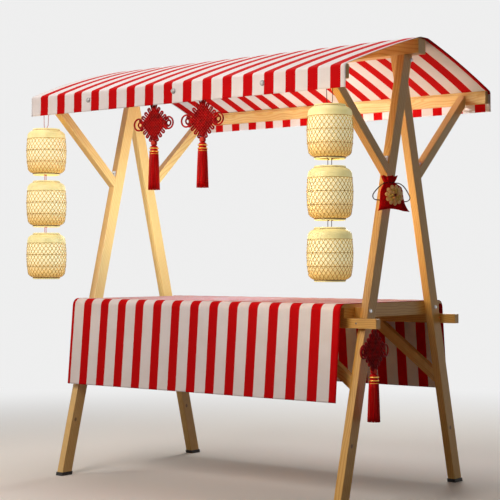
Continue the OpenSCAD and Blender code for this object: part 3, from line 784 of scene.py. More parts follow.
def build_lantern():
    bm = bmesh.new()
    for way in (1, -1):
        woven_strip(bm, way, -0.1005, COLLAR_Z + 0.002)
    heights = [COLLAR_Z - 0.002 + i * 0.0062 for i in range(7)] + [0.0990, 0.1012]
    spun(bm, [(barrel(z) + 0.0004, z) for z in heights] + [(0.062, 0.1024)], COLLAR, closed=False)
    inner = [(barrel(z) - 0.0032, z) for z in [-0.1008 + i * 0.0084 for i in range(25)]]
    spun(bm, inner, PAPER, closed=False)
    for row in range(3):
        z = COLLAR_Z - 0.054 * row
        spun(bm, section(barrel(z) + 0.0004, z, 0.0022, 0.0024, 0.0009), HOOP)
    spun(bm, section(0.0612, 0.1050, 0.0050, 0.0075, 0.0018), COLLAR)
    spun(bm, section(0.0632, 0.1016, 0.0030, 0.0030, 0.0012), RIM)
    spun(bm, section(0.0630, -0.1018, 0.0036, 0.0046, 0.0014), RIM)
    spun(bm, section(0.0606, -0.1062, 0.0046, 0.0054, 0.0016), COLLAR)
    for z in (MOUTH_Z, -MOUTH_Z):
        across_mouth = Matrix.Translation((0, 0, z)) @ Matrix.Rotation(math.pi / 2, 4, "Y")
        stick = bmesh.ops.create_cone(bm, cap_ends=True, segments=10, radius1=STICK_R,
                                      radius2=STICK_R, depth=STICK_LONG, matrix=across_mouth)["verts"]
        for face in {f for v in stick for f in v.link_faces}:
            face.material_index = COLLAR
            face.smooth = len(face.verts) == 4
    flat = bm.loops.layers.uv.new("round and up")
    for face in bm.faces:
        middle = face.calc_center_median()
        base = math.atan2(middle.y, middle.x)
        for loop in face.loops:
            turn = math.atan2(loop.vert.co.y, loop.vert.co.x) - base
            turn = (turn + math.pi) % (2 * math.pi) - math.pi
            loop[flat].uv = ((base + turn) * LANTERN_R, loop.vert.co.z)
    bmesh.ops.recalc_face_normals(bm, faces=bm.faces)
    return mesh_from("lantern", bm, *LANTERN_SKINS)


lantern_mesh = build_lantern()
for index, (end, row) in enumerate((e, r) for e in ENDS for r in ("upper", "middle", "lower")):
    node = f"lantern_{end}_{row}"
    mesh = lantern_mesh.copy()
    mesh.transform(Matrix.Translation(middle_of(node)) @ Matrix.Rotation(0.61 * index + 0.2, 4, "Z"))
    piece = add_object("woven_" + node, mesh)
    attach(piece, "root")
    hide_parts(node)
bpy.data.meshes.remove(lantern_mesh)
print("each lantern:", sum(len(p.vertices) - 2 for p in mesh.polygons), "triangles")

# %% [markdown]
# ## Satin cord
# The knots, the strings and the tassels are rayon satin: dense, smooth and shiny along the fibre.
# The cord's braid is a fine slanted relief that is read from the piece's own place.

# %% Satin cord and gilt trim
BRAID = 0.0016


def satin(name, bright, deep, painted_crest=None):
    """Braided rayon. A painted crest (axis, middle plane, colour) gives painted shade where the cord lies
    nearest the middle plane and a painted highlight where it stands highest.
    """
    finish = Finish(name, Roughness=0.42, Specular_IOR_Level=0.1)
    place = finish.spot()
    across, along, up = finish.split(place)
    per_braid = 2 * math.pi / BRAID
    slant = finish.sine(finish.times(finish.plus(finish.plus(across, along), up), per_braid))
    cross = finish.sine(finish.times(finish.minus(across, up), per_braid))
    fibre = finish.noise(place, 700, 2)
    shade = finish.noise(place, 45, 3)
    colour = finish.blend(finish.remap(shade, 0.35, 0.7), bright, deep)
    colour = finish.blend(finish.remap(fibre, 0.4, 0.8, 0, 0.35), colour, deep)
    if painted_crest:
        axis, middle, painted_highlight = painted_crest
        height = finish.math("ABSOLUTE", finish.minus((across, along)[axis], middle))
        # Painted light on the weave: painted shade in the hollows near the middle plane, a painted highlight
        # on the highest crests.
        colour = finish.blend(finish.remap(height, 0.0, 0.0050, 0.8, 0.0), colour, deep)
        colour = finish.blend(finish.remap(height, 0.0060, 0.0082, 0.0, 0.75), colour, painted_highlight)
    finish.send("Base Color", colour)
    finish.send("Roughness", finish.remap(fibre, 0.3, 0.7, 0.34, 0.52))
    finish.bump(finish.plus(finish.times(slant, cross), fibre), 0.00015, 0.5)
    return finish.material


def gilt(name):
    finish = Finish(name, Metallic=0.9, Roughness=0.32)
    rub = finish.noise(finish.spot(), 300, 3)
    finish.send("Base Color", finish.blend(finish.remap(rub, 0.4, 0.7), rgb(246, 198, 96), rgb(206, 140, 44)))
    finish.send("Roughness", finish.remap(rub, 0.3, 0.7, 0.26, 0.45))
    return finish.material


red_satin = satin("red_satin_string", rgb(206, 96, 78), rgb(168, 50, 42))
dark_satin = satin("dark_string", rgb(74, 26, 20), rgb(44, 16, 14))


def floss(name, bright, deep, painted_highlight):
    """Straight fibres side by side: long upright streaks, and a few that catch the light."""
    finish = Finish(name, Roughness=0.4, Specular_IOR_Level=0.1)
    across, along, up = finish.split(finish.spot())
    place = finish.join(across, along, finish.times(up, 0.03))
    fibre = finish.noise(place, 900, 3, 0.6)
    lock = finish.noise(place, 130, 2)
    colour = finish.blend(finish.remap(lock, 0.35, 0.65), bright, deep)
    finish.send("Base Color", finish.blend(finish.remap(lock, 0.56, 0.66, 0, 0.55), colour, painted_highlight))
    finish.send("Roughness", finish.remap(fibre, 0.3, 0.7, 0.32, 0.55))
    finish.bump(finish.plus(fibre, lock), 0.0003, 0.5)
    return finish.material


tassel_satin = floss("tassel_floss", rgb(226, 6, 10), rgb(172, 0, 6), rgb(240, 70, 54))
gold = gilt("gilt_thread")


def cord_piece(name, paths, radius, material, sides=2):
    """A cord that follows each path of points, as one curve piece."""
    data = bpy.data.curves.new(name, "CURVE")
    data.dimensions = "3D"
    data.bevel_depth = radius
    data.bevel_resolution = sides
    data.use_fill_caps = True
    for path in paths:
        line = data.splines.new("POLY")
        line.points.add(len(path) - 1)
        for point, place in zip(line.points, path):
            point.co = (*place, 1)
    data.materials.append(material)
    piece = add_object(name, data)
    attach(piece, "root")
    return piece


# %% [markdown]
# ## The lucky knots
# A lucky knot is one cord laid to and fro ten times, then ten times more across itself, over
# and under in turn. Each turn stands out past the body as a long ear, and the ears fan out towards
# the corners. The free ends make the double side loops. The path is drawn on a square standing on
# its corner: a and b run along its sides, and the height over the square swaps at each crossing.

# %% The lucky knots
LINES = 10
LINE_GAP = 0.0102
KNOT_CORD = 0.0039
REACH = LINE_GAP * (LINES - 1) / 2
BODY = REACH * math.sqrt(2)
EAR_LONG = 0.0245
EAR_ROUND = 0.0055
EAR_FAN = math.radians(30)
# Colour of the painted highlight on the knots' highest crests.
KNOT_PAINTED_HIGHLIGHT = rgb(240, 84, 66)
WEAVE_UP = 0.0040
BEAD_R = 0.0074
BEAD_SWELL = 0.0034
BEAD_HIGH = 0.0165
BEAD_TURNS = 5
ARCH_R = 0.0032


def weave_height(i, j):
    return WEAVE_UP if (i + j) % 2 else -WEAVE_UP


def ear(way, b):
    """The long turn between two lines; it leans the more, the nearer it is to a corner."""
    middle = b + LINE_GAP / 2
    lean = EAR_FAN * middle / REACH * (1.0 if way * middle > 0 else 0.55)
    path = []
    for step in range(13):
        turn = math.radians(-118 + 236 * step / 12)
        out = EAR_LONG - EAR_ROUND + EAR_ROUND * math.cos(turn)
        side = EAR_ROUND * math.sin(turn)
        path.append((way * (REACH + out * math.cos(lean) - side * math.sin(lean)),
                     middle + side * math.cos(lean) + out * math.sin(lean), 0.0008))
    return path


def one_way(family):
    """Points (a, b, height) of a cord that runs to and fro along a."""
    path = []
    for i in range(LINES):
        b = i * LINE_GAP - REACH
        way = 1 if i % 2 == 0 else -1
        for j in range(-1, 2 * LINES):
            a = way * (j / 2 * LINE_GAP - REACH)
            cross = (j / 2) if way > 0 else LINES - 1 - j / 2
            nearest = weave_height(i, round(cross)) * (1 if family == 0 else -1)
            path.append((a, b, nearest * (1.0 if j % 2 == 0 else 0.0)))
        if i < LINES - 1:
            path += ear(way, b)
    return path


def side_loops(side):
    """Two turns of cord beside the knot, the second inside the first."""
    path = []
    for step in range(57):
        turn = math.pi + 4.4 * math.pi * step / 56
        shrink = min(max((step - 20) / 14, 0), 1)
        radius = 0.0258 - 0.0142 * shrink
        middle = BODY + 0.0200 - 0.0040 * shrink
        across = side * (middle + radius * math.cos(turn))
        path.append((across, radius * math.sin(turn) - 0.001, 0.003 - 0.006 * shrink))
    return path


def bead():
    """The small round button knot over the tassel: cord wound round and round, widest in the middle."""
    path = []
    for step in range(BEAD_TURNS * 12 + 1):
        down = step / (BEAD_TURNS * 12)
        radius = BEAD_R + BEAD_SWELL * math.sin(math.pi * down) ** 0.7
        turn = 2 * math.pi * step / 12
        path.append((radius * math.cos(turn), BEAD_HIGH * (1 - down), radius * math.sin(turn)))
    return path


def knot_paths(above, below):
    """Every run of the knot as (across, up, towards the viewer); it hangs above and ends below."""
    paths = []
    for family in (0, 1):
        turned = []
        for a, b, height in one_way(family):
            if family:
                a, b = b, a
            turned.append(((a - b) / math.sqrt(2), (a + b) / math.sqrt(2), height))
        paths.append(turned)
    paths += [side_loops(1), side_loops(-1)]
    for s in (-1, 1):
        paths.append([(s * 0.0045, 0.006 - BODY, 0), (s * 0.003, (below - BODY) / 2, 0),
                      (s * 0.002, 0.012 + below, 0)])
    paths.append([(across, up + below + 0.002, out) for across, up, out in bead()])
    paths.append([(0, below + 0.012, 0), (0, below, 0)])
    loop = [(-0.004, BODY - 0.006, 0), (-0.0042, BODY + 0.004, 0), (-0.0036, (BODY + above) / 2, 0)]
    arch = []
    for step in range(7):
        turn = math.pi * step / 6
        arch.append((-ARCH_R * math.cos(turn), above - 0.0058 + ARCH_R * math.sin(turn), 0))
    paths.append(loop + arch + [(-x, z, y) for x, z, y in reversed(loop)])
    return paths


def tie_knot(name, node, place, wide, turned=False):
    """Puts the knot in its place; turned stands it facing the right-hand end of the stall."""
    low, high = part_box(node)
    painted_crest = (0, place[0], KNOT_PAINTED_HIGHLIGHT) if turned else (1, place[1], KNOT_PAINTED_HIGHLIGHT)
    material = satin(name + "_cord", rgb(212, 2, 10), rgb(120, 0, 5), painted_crest)
    paths = []
    for path in knot_paths(high.z - place[2], low.z - place[2]):
        spots = [(across * wide, up, out) for across, up, out in path]
        if turned:
            paths.append([(place[0] + out, place[1] + across, place[2] + up) for across, up, out in spots])
        else:
            paths.append([(place[0] + across, place[1] - out, place[2] + up) for across, up, out in spots])
    piece = cord_piece(name, paths, KNOT_CORD, material)
    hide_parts(node)
    return piece


KNOT_Y = -0.555 + STALL_Y
KNOT_Z = 1.6215
RAIL_KNOT = (0.883, -0.3478 + STALL_Y, 0.6455)
tie_knot("lucky_knot_left", "knot_left", (-0.141, KNOT_Y, KNOT_Z), 1.04)
tie_knot("lucky_knot_right", "knot_right", (0.141, KNOT_Y, KNOT_Z), 1.06)
tie_knot("lucky_knot_rail", "knot_rail", RAIL_KNOT, 0.92, turned=True)

# %% [markdown]
# ## Tassels
# A tassel is a hank of rayon floss folded over and bound with two gilt rings and a thin third one.
# The outer threads hang side by side and open a little towards the cut end; a solid core stands
# for those inside.

# %% Tassels
THREADS = 76
RINGS = (-0.0125, -0.0265)
RING = ((0.0160, 0.0028), (0.0200, 0.0026), (0.0219, 0.0014), (0.0222, 0), (0.0219, -0.0014),
        (0.0200, -0.0026), (0.0160, -0.0028))
THIN_RING_Z = -0.0372
THIN_RING = ((0.0180, 0.0014), (0.0207, 0.0008), (0.0211, 0), (0.0207, -0.0008), (0.0180, -0.0014))
THREAD_FROM = 0.0290
THREAD_OUT = 0.0192


def build_tassel(name, node, seed):
    dice = random.Random(seed)
    low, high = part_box(node)
    x, y = (low.x + high.x) / 2, (low.y + high.y) / 2
    top, length = high.z, high.z - low.z
    cap = ((0.0001, 0), (0.0085, -0.0003), (0.0140, -0.0022), (0.0170, -0.0060), (0.0172, -0.031))
    core = ((0.0170, -0.029), (0.0186, -0.05), (0.0212, -0.11), (0.0236, -length + 0.004),
            (0.0001, -length + 0.005))
    bm = bmesh.new()
    spin_outline(bm, cap, 32)
    spin_outline(bm, core, 40)
    for ring_z in RINGS:
        spin_outline(bm, [(radius, ring_z + z) for radius, z in RING], 36)
    spin_outline(bm, [(radius, THIN_RING_Z + z) for radius, z in THIN_RING], 36)
    for index in range(THREADS):
        around = 2 * math.pi * index / THREADS + dice.uniform(-0.03, 0.03)
        end = length - dice.uniform(0, 0.0012)
        spread = dice.uniform(0.0246, 0.0258)
        drift = dice.uniform(-0.06, 0.06)
        before = len(bm.verts)
        thread = bmesh.ops.create_cone(bm, cap_ends=True, segments=6, radius1=0.0014, radius2=0.0011,
                                       depth=1.0, matrix=Matrix.Translation((0, 0, -0.5)))["verts"]
        upright = [e for e in {e for v in thread for e in v.link_edges}
                   if abs(e.verts[0].co.z - e.verts[1].co.z) > 0.5]
        bmesh.ops.subdivide_edges(bm, edges=upright, cuts=5)
        bm.verts.ensure_lookup_table()
        for vert in bm.verts[before:]:
            down = -vert.co.z
            swell = 0.0006 * math.sin(math.pi * min(down * 9, 1))
            radius = THREAD_OUT + (spread - THREAD_OUT) * (down ** 0.8) + swell
            turn = around + drift * down + 0.02 * math.sin(down * 5 + index)
            vert.co.x += radius
            vert.co.z = -THREAD_FROM - down * (end - THREAD_FROM)
            vert.co = Matrix.Rotation(turn, 3, "Z") @ vert.co
    bmesh.ops.translate(bm, vec=(x, y, top), verts=bm.verts)
    bmesh.ops.recalc_face_normals(bm, faces=bm.faces)
    for face in bm.faces:
        face.smooth = True
        z = face.calc_center_median().z - top
        reach = math.hypot(face.calc_center_median().x - x, face.calc_center_median().y - y)
        bound = min(abs(z - ring_z) for ring_z in RINGS) < 0.0032 and reach > 0.0168
        thin_ring = len(face.verts) == 4 and abs(z - THIN_RING_Z) < 0.0012 and face.calc_area() < 0.00002
        face.material_index = 1 if bound or thin_ring else 0
    piece = add_object(name, mesh_from(name, bm, tassel_satin, gold))
    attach(piece, "root")
    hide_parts(node)


for index, place in enumerate(("left", "right", "rail")):
    build_tassel("floss_tassel_" + place, "tassel_" + place, 40 + index)
print("knots and tassels tied:", 3)

# %% [markdown]
# ## Lantern strings
# Each string is doubled. It starts under the eave beam, its two runs close in on the stick across
# the first lantern's mouth, and they go on from stick to stick with two turns round each.

# %% Lantern strings
STRING_R = 0.0014
TIED = 0.0024
WRAP_R = 0.0033
WRAP_SHIFT = 0.0012


def hang_lanterns(end, material, spread):
    sign = ENDS[end]
    top_low, top_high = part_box(f"lantern_{end}_upper")
    x, y = (top_low.x + top_high.x) / 2, (top_low.y + top_high.y) / 2
    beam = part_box("eave_beam_front")[0].z
    tied = MOUTH_Z + TIED
    paths = []
    middles = [middle_of(f"lantern_{end}_{row}").z for row in ("upper", "middle", "lower")]
    for shift, foot in spread:
        bend = (x + shift * 0.7 + foot * 0.3, y, beam * 0.6 + middles[0] * 0.4)
        paths.append([(x + shift, y, beam - 0.0004), bend, (x + foot, y, middles[0] + tied)])
        for above, below in zip(middles, middles[1:]):
            paths.append([(x + foot, y, above - tied), (x + foot * 1.04, y, (above + below) / 2),
                          (x + foot, y, below + tied)])
        for row, middle in enumerate(middles):
            for z in (middle + MOUTH_Z, middle - MOUTH_Z)[:1 if row == 2 else 2]:
                for wrap in (-WRAP_SHIFT, WRAP_SHIFT):
                    paths.append([(x + foot + wrap + 0.0004 * t, y + WRAP_R * math.cos(t * math.pi / 5),
                                   z + WRAP_R * math.sin(t * math.pi / 5)) for t in range(11)])
    piece = cord_piece("string_" + end, paths, STRING_R, material, 1)
    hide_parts(f"lantern_string_{end}")


hang_lanterns("left", red_satin, ((-0.017, -0.011), (0.017, -0.002)))
hang_lanterns("right", dark_satin, ((-0.018, -0.010), (0.014, 0.008)))
print("strings hung:", 2)

# %% [markdown]
# ## The pouch
# A small drawstring bag of crimson velvet rests against the right-hand front leg, tied by its neck.
# It is modelled in its own directions: across its width, out towards the viewer, and up. Rings of
# points give the slack bag its outline, and a short cloth simulation with air inside fills it.

# %% Velvet and gilt thread
def velvet(name, bright, deep):
    finish = Finish(name, Roughness=0.82, Sheen_Weight=0.3, Sheen_Roughness=0.4, Specular_IOR_Level=0.15)
    finish.shader.inputs["Sheen Tint"].default_value = rgb(236, 40, 50)
    place = finish.spot()
    crush = finish.noise(place, 55, 4, 0.65)
    pile = finish.noise(place, 1400, 2, 0.7)
    colour = finish.blend(finish.remap(crush, 0.38, 0.68), bright, deep)
    finish.send("Base Color", finish.blend(finish.remap(pile, 0.4, 0.8, 0, 0.4), colour, deep))
    finish.bump(finish.plus(finish.times(crush, 2.0), pile), 0.0008, 0.5)
    return finish.material


crimson = velvet("crimson_velvet", rgb(244, 10, 16), rgb(160, 0, 8))

# %% The pouch's body
POUCH_AT = Vector((0.8706, -0.1395, 1.2192))
POUCH_TURN = math.radians(64)
POUCH_ROWS = (
    (-0.0720, 0.0740, 0.009, 0.002), (-0.0705, 0.0670, 0.022, 0.011), (-0.0680, 0.0555, 0.034, 0.032),
    (-0.0665, 0.0480, 0.038, 0.060), (-0.0640, 0.0450, 0.036, 0.085), (-0.0575, 0.0380, 0.031, 0.103),
    (-0.0475, 0.0190, 0.030, 0.1145), (-0.0465, 0.0035, 0.032, 0.1225))
NECK_MID = -0.0215
FILL_FRAMES = 20
SWELL_CAP = 0.006
PLEAT_DEEP = 0.0034
CREASE_DEEP = 0.0022


def on_pouch(across, out, up):
    c, s = math.cos(POUCH_TURN), math.sin(POUCH_TURN)
    return POUCH_AT + Vector((across * c + out * s, across * s - out * c, up))


def settle(piece, mesh):
    """Gives the piece a new mesh and removes its old one."""
    old = piece.data
    piece.modifiers.clear()
    piece.data = mesh
    bpy.data.meshes.remove(old)


def evaluated(piece):
    return bpy.data.meshes.new_from_object(piece.evaluated_get(bpy.context.evaluated_depsgraph_get()))


def slack_bag():
    bm = bmesh.new()
    loops = []
    for low, high, thick, up in POUCH_ROWS:
        ring = bmesh.ops.create_circle(bm, segments=28, radius=1.0)["verts"]
        for vert in ring:
            x, y = vert.co.x, vert.co.y
            vert.co = Vector(((low + high) / 2 + x * (high - low) / 2, y * thick / 2, up))
        loops += {e for v in ring for e in v.link_edges}
    bmesh.ops.bridge_loops(bm, edges=loops)
    bmesh.ops.holes_fill(bm, edges=[e for e in bm.edges if e.is_boundary], sides=0)
    bmesh.ops.recalc_face_normals(bm, faces=bm.faces)
    piece = add_object("drawstring_pouch", mesh_from("drawstring_pouch", bm))
    remesh = piece.modifiers.new("even grid", "REMESH")
    remesh.mode = "VOXEL"
    remesh.voxel_size = 0.0042
    settle(piece, evaluated(piece))
    return piece


def fill_with_air(piece, cap):
    """Swells the bag by simulation, by no more than the cap; its neck and foot seam stay in place."""
    start = [v.co.copy() for v in piece.data.vertices]
    held = piece.vertex_groups.new(name="held")
    for index, co in enumerate(start):
        neck = min(max((co.z - 0.100) / 0.015, 0), 1)
        seam = min(max((0.016 - co.z) / 0.008, 0), 1)
        if max(neck, seam) > 0:
            held.add([index], max(neck, seam), "REPLACE")
    cloth = piece.modifiers.new("air", "CLOTH")
    cloth.settings.quality = 6
    cloth.settings.mass = 0.3
    cloth.settings.use_pressure = True
    cloth.settings.uniform_pressure_force = 4
    cloth.settings.vertex_group_mass = "held"
    cloth.settings.effector_weights.gravity = 0
    cloth.point_cache.frame_start, cloth.point_cache.frame_end = 1, FILL_FRAMES
    for frame_number in range(1, FILL_FRAMES + 1):
        scene.frame_set(frame_number)
    mesh = evaluated(piece)
    scene.frame_set(1)
    for vert, before in zip(mesh.vertices, start):
        moved = vert.co - before
        if moved.length > cap:
            vert.co = before + moved.normalized() * cap
    settle(piece, mesh)


def gather(piece):
    """Pulls the velvet into pleats under the drawn neck, sags the foot and turns the pouch into place."""
    dice = random.Random(7)
    turns = [dice.uniform(0, 2 * math.pi) for _ in range(3)]
    for vert in piece.data.vertices:
        across, out, up = vert.co
        around = math.atan2(out * 1.5, across - NECK_MID)
        near_neck = min(max((up - 0.058) / 0.05, 0), 1) ** 1.5
        pleat = (math.sin(13 * around + turns[0]) + 0.6 * math.sin(7 * around + turns[1])) / 1.6
        depth = PLEAT_DEEP * near_neck * pleat
        low = min(max((0.05 - up) / 0.05, 0), 1)
        crease = CREASE_DEEP * low * math.sin(across * 90 + turns[2]) * (1 if out > 0 else 0.4)
        lift = 0.0100 * low * (1 - ((across + 0.013) / 0.060) ** 2)
        corner = min(max(abs(across) / 0.07 - 0.45, 0) * 1.8, 1) * low ** 2
        spread = (0.0105 if across > 0 else -0.0055) * corner
        side = Vector((across - NECK_MID, out)).normalized()
        vert.co = on_pouch(across + side.x * depth + spread, out + side.y * depth + crease,
                           up + max(lift, 0) - 0.0030 * corner)


pouch = slack_bag()
fill_with_air(pouch, SWELL_CAP)
gather(pouch)
pouch.modifiers.new("soft", "SUBSURF").levels = 1
pouch.modifiers["soft"].render_levels = 1
for polygon in pouch.data.polygons:
    polygon.use_smooth = True
pouch.data.materials.append(crimson)
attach(pouch, "root")
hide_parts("pouch")
print("pouch:", len(pouch.data.vertices), "points")

# %% The frill above the neck
FRILL = ((0.0246, 0.1165), (0.0232, 0.1205), (0.0240, 0.1250), (0.0276, 0.1320), (0.0304, 0.1405),
         (0.0326, 0.1485))
FRILL_THICK = 0.0014


def build_frill():
    bm = bmesh.new()
    spin_outline(bm, FRILL, 96)
    for vert in bm.verts:
        around = math.atan2(vert.co.y, vert.co.x)
        rise = min(max((vert.co.z - 0.120) / 0.029, 0), 1)
        radius = math.hypot(vert.co.x, vert.co.y)
        wave = math.sin(10 * around) + 0.5 * math.sin(7 * around + 1.1)
        radius += wave * (0.0012 + 0.0036 * rise)
        up = vert.co.z + rise * (0.0022 * math.sin(5 * around + 0.6) + 0.0012 * wave)
        vert.co = on_pouch(NECK_MID + radius * 1.02 * math.cos(around), radius * 0.62 * math.sin(around), up)
    bmesh.ops.recalc_face_normals(bm, faces=bm.faces)
    area = sum(face.calc_area() for face in bm.faces)
    shade_smooth(bm.faces)
    piece = add_object("pouch_frill", mesh_from("pouch_frill", bm, crimson))
    thicken(piece, FRILL_THICK)
    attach(piece, "root")


build_frill()

# %% [markdown]
# ## The embroidered blossom
# A round blossom in gilt thread is padded up on the front: eleven outer petals, two smaller rings
# over them and a knotted middle. The outer petals and some inner ones are a paler peach as a
# painted highlight, and the middle is dark brown as painted shade. Each petal is a rounded cushion
# laid onto the velvet by looking straight in at the bag's surface, so the whole blossom follows
# its swell.

# %% The blossom
STITCH_GAP = 0.0011
BLOSSOM_AT = (-0.0035, 0.0690)
# Rings of petals: how many, first turn, distance out, length, width, height of the cushion.
PETAL_RINGS = ((11, 0.2, 0.0340, 0.0125, 0.0128, 0.0036), (9, 0.5, 0.0235, 0.0110, 0.0112, 0.0056),
               (6, 0.1, 0.0125, 0.0085, 0.0086, 0.0074), (4, 0.0, 0.0034, 0.0026, 0.0024, 0.0084))


def gilt_floss(name, bright, deep):
    finish = Finish(name, Roughness=0.45, Metallic=0.1)
    place = finish.spot()
    across, along, up = finish.split(place)
    stitch = finish.sine(finish.times(finish.plus(along, up), 2 * math.pi / STITCH_GAP))
    tone = finish.noise(place, 90, 3)
    finish.send("Base Color", finish.blend(finish.remap(tone, 0.35, 0.65), bright, deep))
    finish.bump(stitch, 0.0002, 0.6)
    return finish.material


# Painted light on the gilt thread: paler peach as a painted highlight, gold as the thread's own colour, dark
# brown as painted shade in the middle.
petal_painted_highlight = gilt_floss("petal_thread_painted_highlight", rgb(255, 212, 142), rgb(250, 176, 96))
petal_heart = gilt_floss("heart_thread", rgb(240, 200, 90), rgb(206, 146, 44))
heart_painted_shade = gilt_floss("heart_thread_painted_shade", rgb(150, 60, 30), rgb(110, 30, 20))


def build_blossom():
    outward = Vector((math.sin(POUCH_TURN), -math.cos(POUCH_TURN), 0))
    skin = BVHTree.FromObject(pouch, bpy.context.evaluated_depsgraph_get())
    bm = bmesh.new()

    def petal(reach, turn, length, width, puff, skin_index):
        cushion = bmesh.ops.create_uvsphere(bm, u_segments=12, v_segments=8, radius=1.0)["verts"]
        for vert in cushion:
            along, side, out = vert.co
            width_here = width * (0.76 + 0.24 * along) * (1.0 - 0.30 * max(along, 0) ** 3)
            radial = reach + along * length
            sideways = side * width_here
            groove = 0.25 * math.exp(-(side * 4) ** 2) * (1 if out > 0 else 0)
            x = BLOSSOM_AT[0] + radial * math.cos(turn) - sideways * math.sin(turn)
            z = BLOSSOM_AT[1] + 0.96 * (radial * math.sin(turn) + sideways * math.cos(turn))
            eye = on_pouch(x, 0.09, z)
            hit = skin.ray_cast(eye, -outward, 0.2)[0]
            base = hit if hit else on_pouch(x, 0.02, z)
            vert.co = base + outward * puff * (out - groove)
        shade_smooth({f for v in cushion for f in v.link_faces}, skin_index)

    for ring, (petals, first, reach, length, width, puff) in enumerate(PETAL_RINGS):
        for index in range(petals):
            skin_index = (0, 1 if index % 3 else 0, index % 2, 2)[ring]
            petal(reach, index * 2 * math.pi / petals + first, length, width, puff, skin_index)
    mesh = mesh_from("pouch_blossom", bm, petal_painted_highlight, petal_heart, heart_painted_shade)
    piece = add_object("pouch_blossom", mesh)
    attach(piece, "root")


build_blossom()

# %% [markdown]
# ## The drawstring
# A thin dark cord is drawn tight round the neck and tied behind it. Its two loops spring out to
# either side, as new waxed cord does, and turn back behind the bag.

# %% The drawstring
drawstring = satin("drawstring_cord", rgb(74, 16, 14), rgb(38, 8, 8))


def smooth_route(places, steps=5):
    """A smooth line through the places (Catmull-Rom)."""
    ends = [places[0] * 2 - places[1]] + places + [places[-1] * 2 - places[-2]]
    route = []
    for a, b, c, d in zip(ends, ends[1:], ends[2:], ends[3:]):
        for step in range(steps):
            t = step / steps
            route.append(0.5 * (2 * b + (c - a) * t + (2 * a - 5 * b + 4 * c - d) * t * t
                                + (3 * b - a - 3 * c + d) * t ** 3))
    return route + [places[-1]]


DRAWSTRING_D = 0.0046
LEFT_LOOP = (
    (-0.0440, 0.004, 0.1190), (-0.0560, 0.010, 0.1155), (-0.0785, 0.010, 0.1000), (-0.0980, 0.008, 0.0790),
    (-0.1025, 0.004, 0.0660), (-0.0945, -0.004, 0.0545), (-0.0780, -0.011, 0.0492),
    (-0.0500, -0.0215, 0.0482))
RIGHT_LOOP = (
    (0.0045, 0.004, 0.1195), (0.0215, 0.010, 0.1180), (0.0430, 0.010, 0.1060), (0.0635, 0.008, 0.0830),
    (0.0780, 0.004, 0.0610), (0.0780, -0.003, 0.0500), (0.0700, -0.011, 0.0445), (0.0560, -0.0190, 0.0440))
NECK_HALF = (0.0222, 0.0138)
for name, places in (("drawstring_left", LEFT_LOOP), ("drawstring_right", RIGHT_LOOP)):
    route = smooth_route([on_pouch(*place) for place in places])
    loop = cord_piece(name, [route], DRAWSTRING_D / 2, drawstring, 1)


def neck_binding():
    paths = []
    for up in (0.1190, 0.1212):
        turns = [step * math.pi / 12 for step in range(25)]
        paths.append([on_pouch(NECK_MID + NECK_HALF[0] * math.cos(turn), NECK_HALF[1] * math.sin(turn), up)
                      for turn in turns])
    cord_piece("drawstring_neck", paths, DRAWSTRING_D / 2, drawstring, 1)


neck_binding()

# %% [markdown]
# ## Feet, brackets, bolts and screws
# Each leg stands in a moulded rubber shoe. Small bent strips of zinc-plated steel sit in the crooks
# of the roof braces. Bolts with washers hold the crossed legs and the table, and screws hold the
# rails and the steel strips. Domed buttons pin the valances to their beams. All of these fasteners
# are turned shapes: a side outline is spun round the fastener's own axis, and a bolt gets a
# bevelled six-sided head on top.

# %% Rubber and zinc
def rubber(name):
    finish = Finish(name, Roughness=0.62, Specular_IOR_Level=0.35)
    place = finish.spot()
    grain = finish.noise(place, 800, 3, 0.6)
    dust = finish.remap(finish.noise(place, 30, 4), 0.45, 0.75)
    low = finish.remap(finish.split(place)[2], 0.0, 0.012, 0.7, 0.2)
    colour = finish.blend(finish.times(dust, low), rgb(34, 33, 32), rgb(92, 88, 82))
    finish.send("Base Color", colour)
    finish.send("Roughness", finish.remap(dust, 0, 1, 0.5, 0.8))
    finish.bump(grain, 0.0002, 0.5)
    return finish.material


def zinc(name, bright, dull, rough, metal=1.0):
    finish = Finish(name, Metallic=metal, Roughness=rough)
    place = finish.spot()
    spangle = finish.step("ShaderNodeTexVoronoi", {"Vector": place, "Scale": 260}).outputs["Color"]
    scratch = finish.noise(place, 900, 2, 0.7)
    finish.send("Base Color", finish.blend(finish.split(spangle)[0], bright, dull))
    finish.send("Roughness", finish.remap(scratch, 0.3, 0.7, rough - 0.1, rough + 0.15))
    finish.bump(scratch, 0.0001, 0.3)
    return finish.material


zinc_plate = zinc("zinc_plate", rgb(214, 214, 212), rgb(176, 178, 182), 0.3)
button_steel = zinc("button_steel", rgb(190, 190, 190), rgb(150, 150, 152), 0.38, 0.3)
old_zinc = zinc("old_zinc_screws", rgb(150, 148, 144), rgb(104, 102, 100), 0.45)
dress("foot_pads", rubber("foot_rubber"), 0.0008)
dress("brace_brackets", zinc_plate, 0.0003)

# %% Bolts, nuts, screws and buttons
WASHER = ((0, 0), (0.0085, 0), (0.0088, 0.0004), (0.0088, 0.0012), (0.0084, 0.0016), (0, 0.0016))
BUTTON = ((0, 0), (0.0121, 0), (0.0124, 0.0009), (0.0119, 0.0030), (0.0103, 0.0054), (0.0075, 0.0071),
          (0.0039, 0.0081), (0, 0.0084))
SCREW = ((0, 0), (0.0041, 0), (0.0041, 0.0007), (0.0036, 0.0014), (0.0026, 0.0018), (0.0017, 0.0018),
         (0.0011, 0.0008), (0, 0.0006))
THREAD = ((0.0036, 0.0080), (0.0040, 0.0084), (0.0036, 0.0088), (0.0040, 0.0092), (0.0036, 0.0096),
          (0.0040, 0.0100), (0.0034, 0.0106), (0, 0.0106))
HEX_R = 0.0075
HEX_HIGH = 0.0056


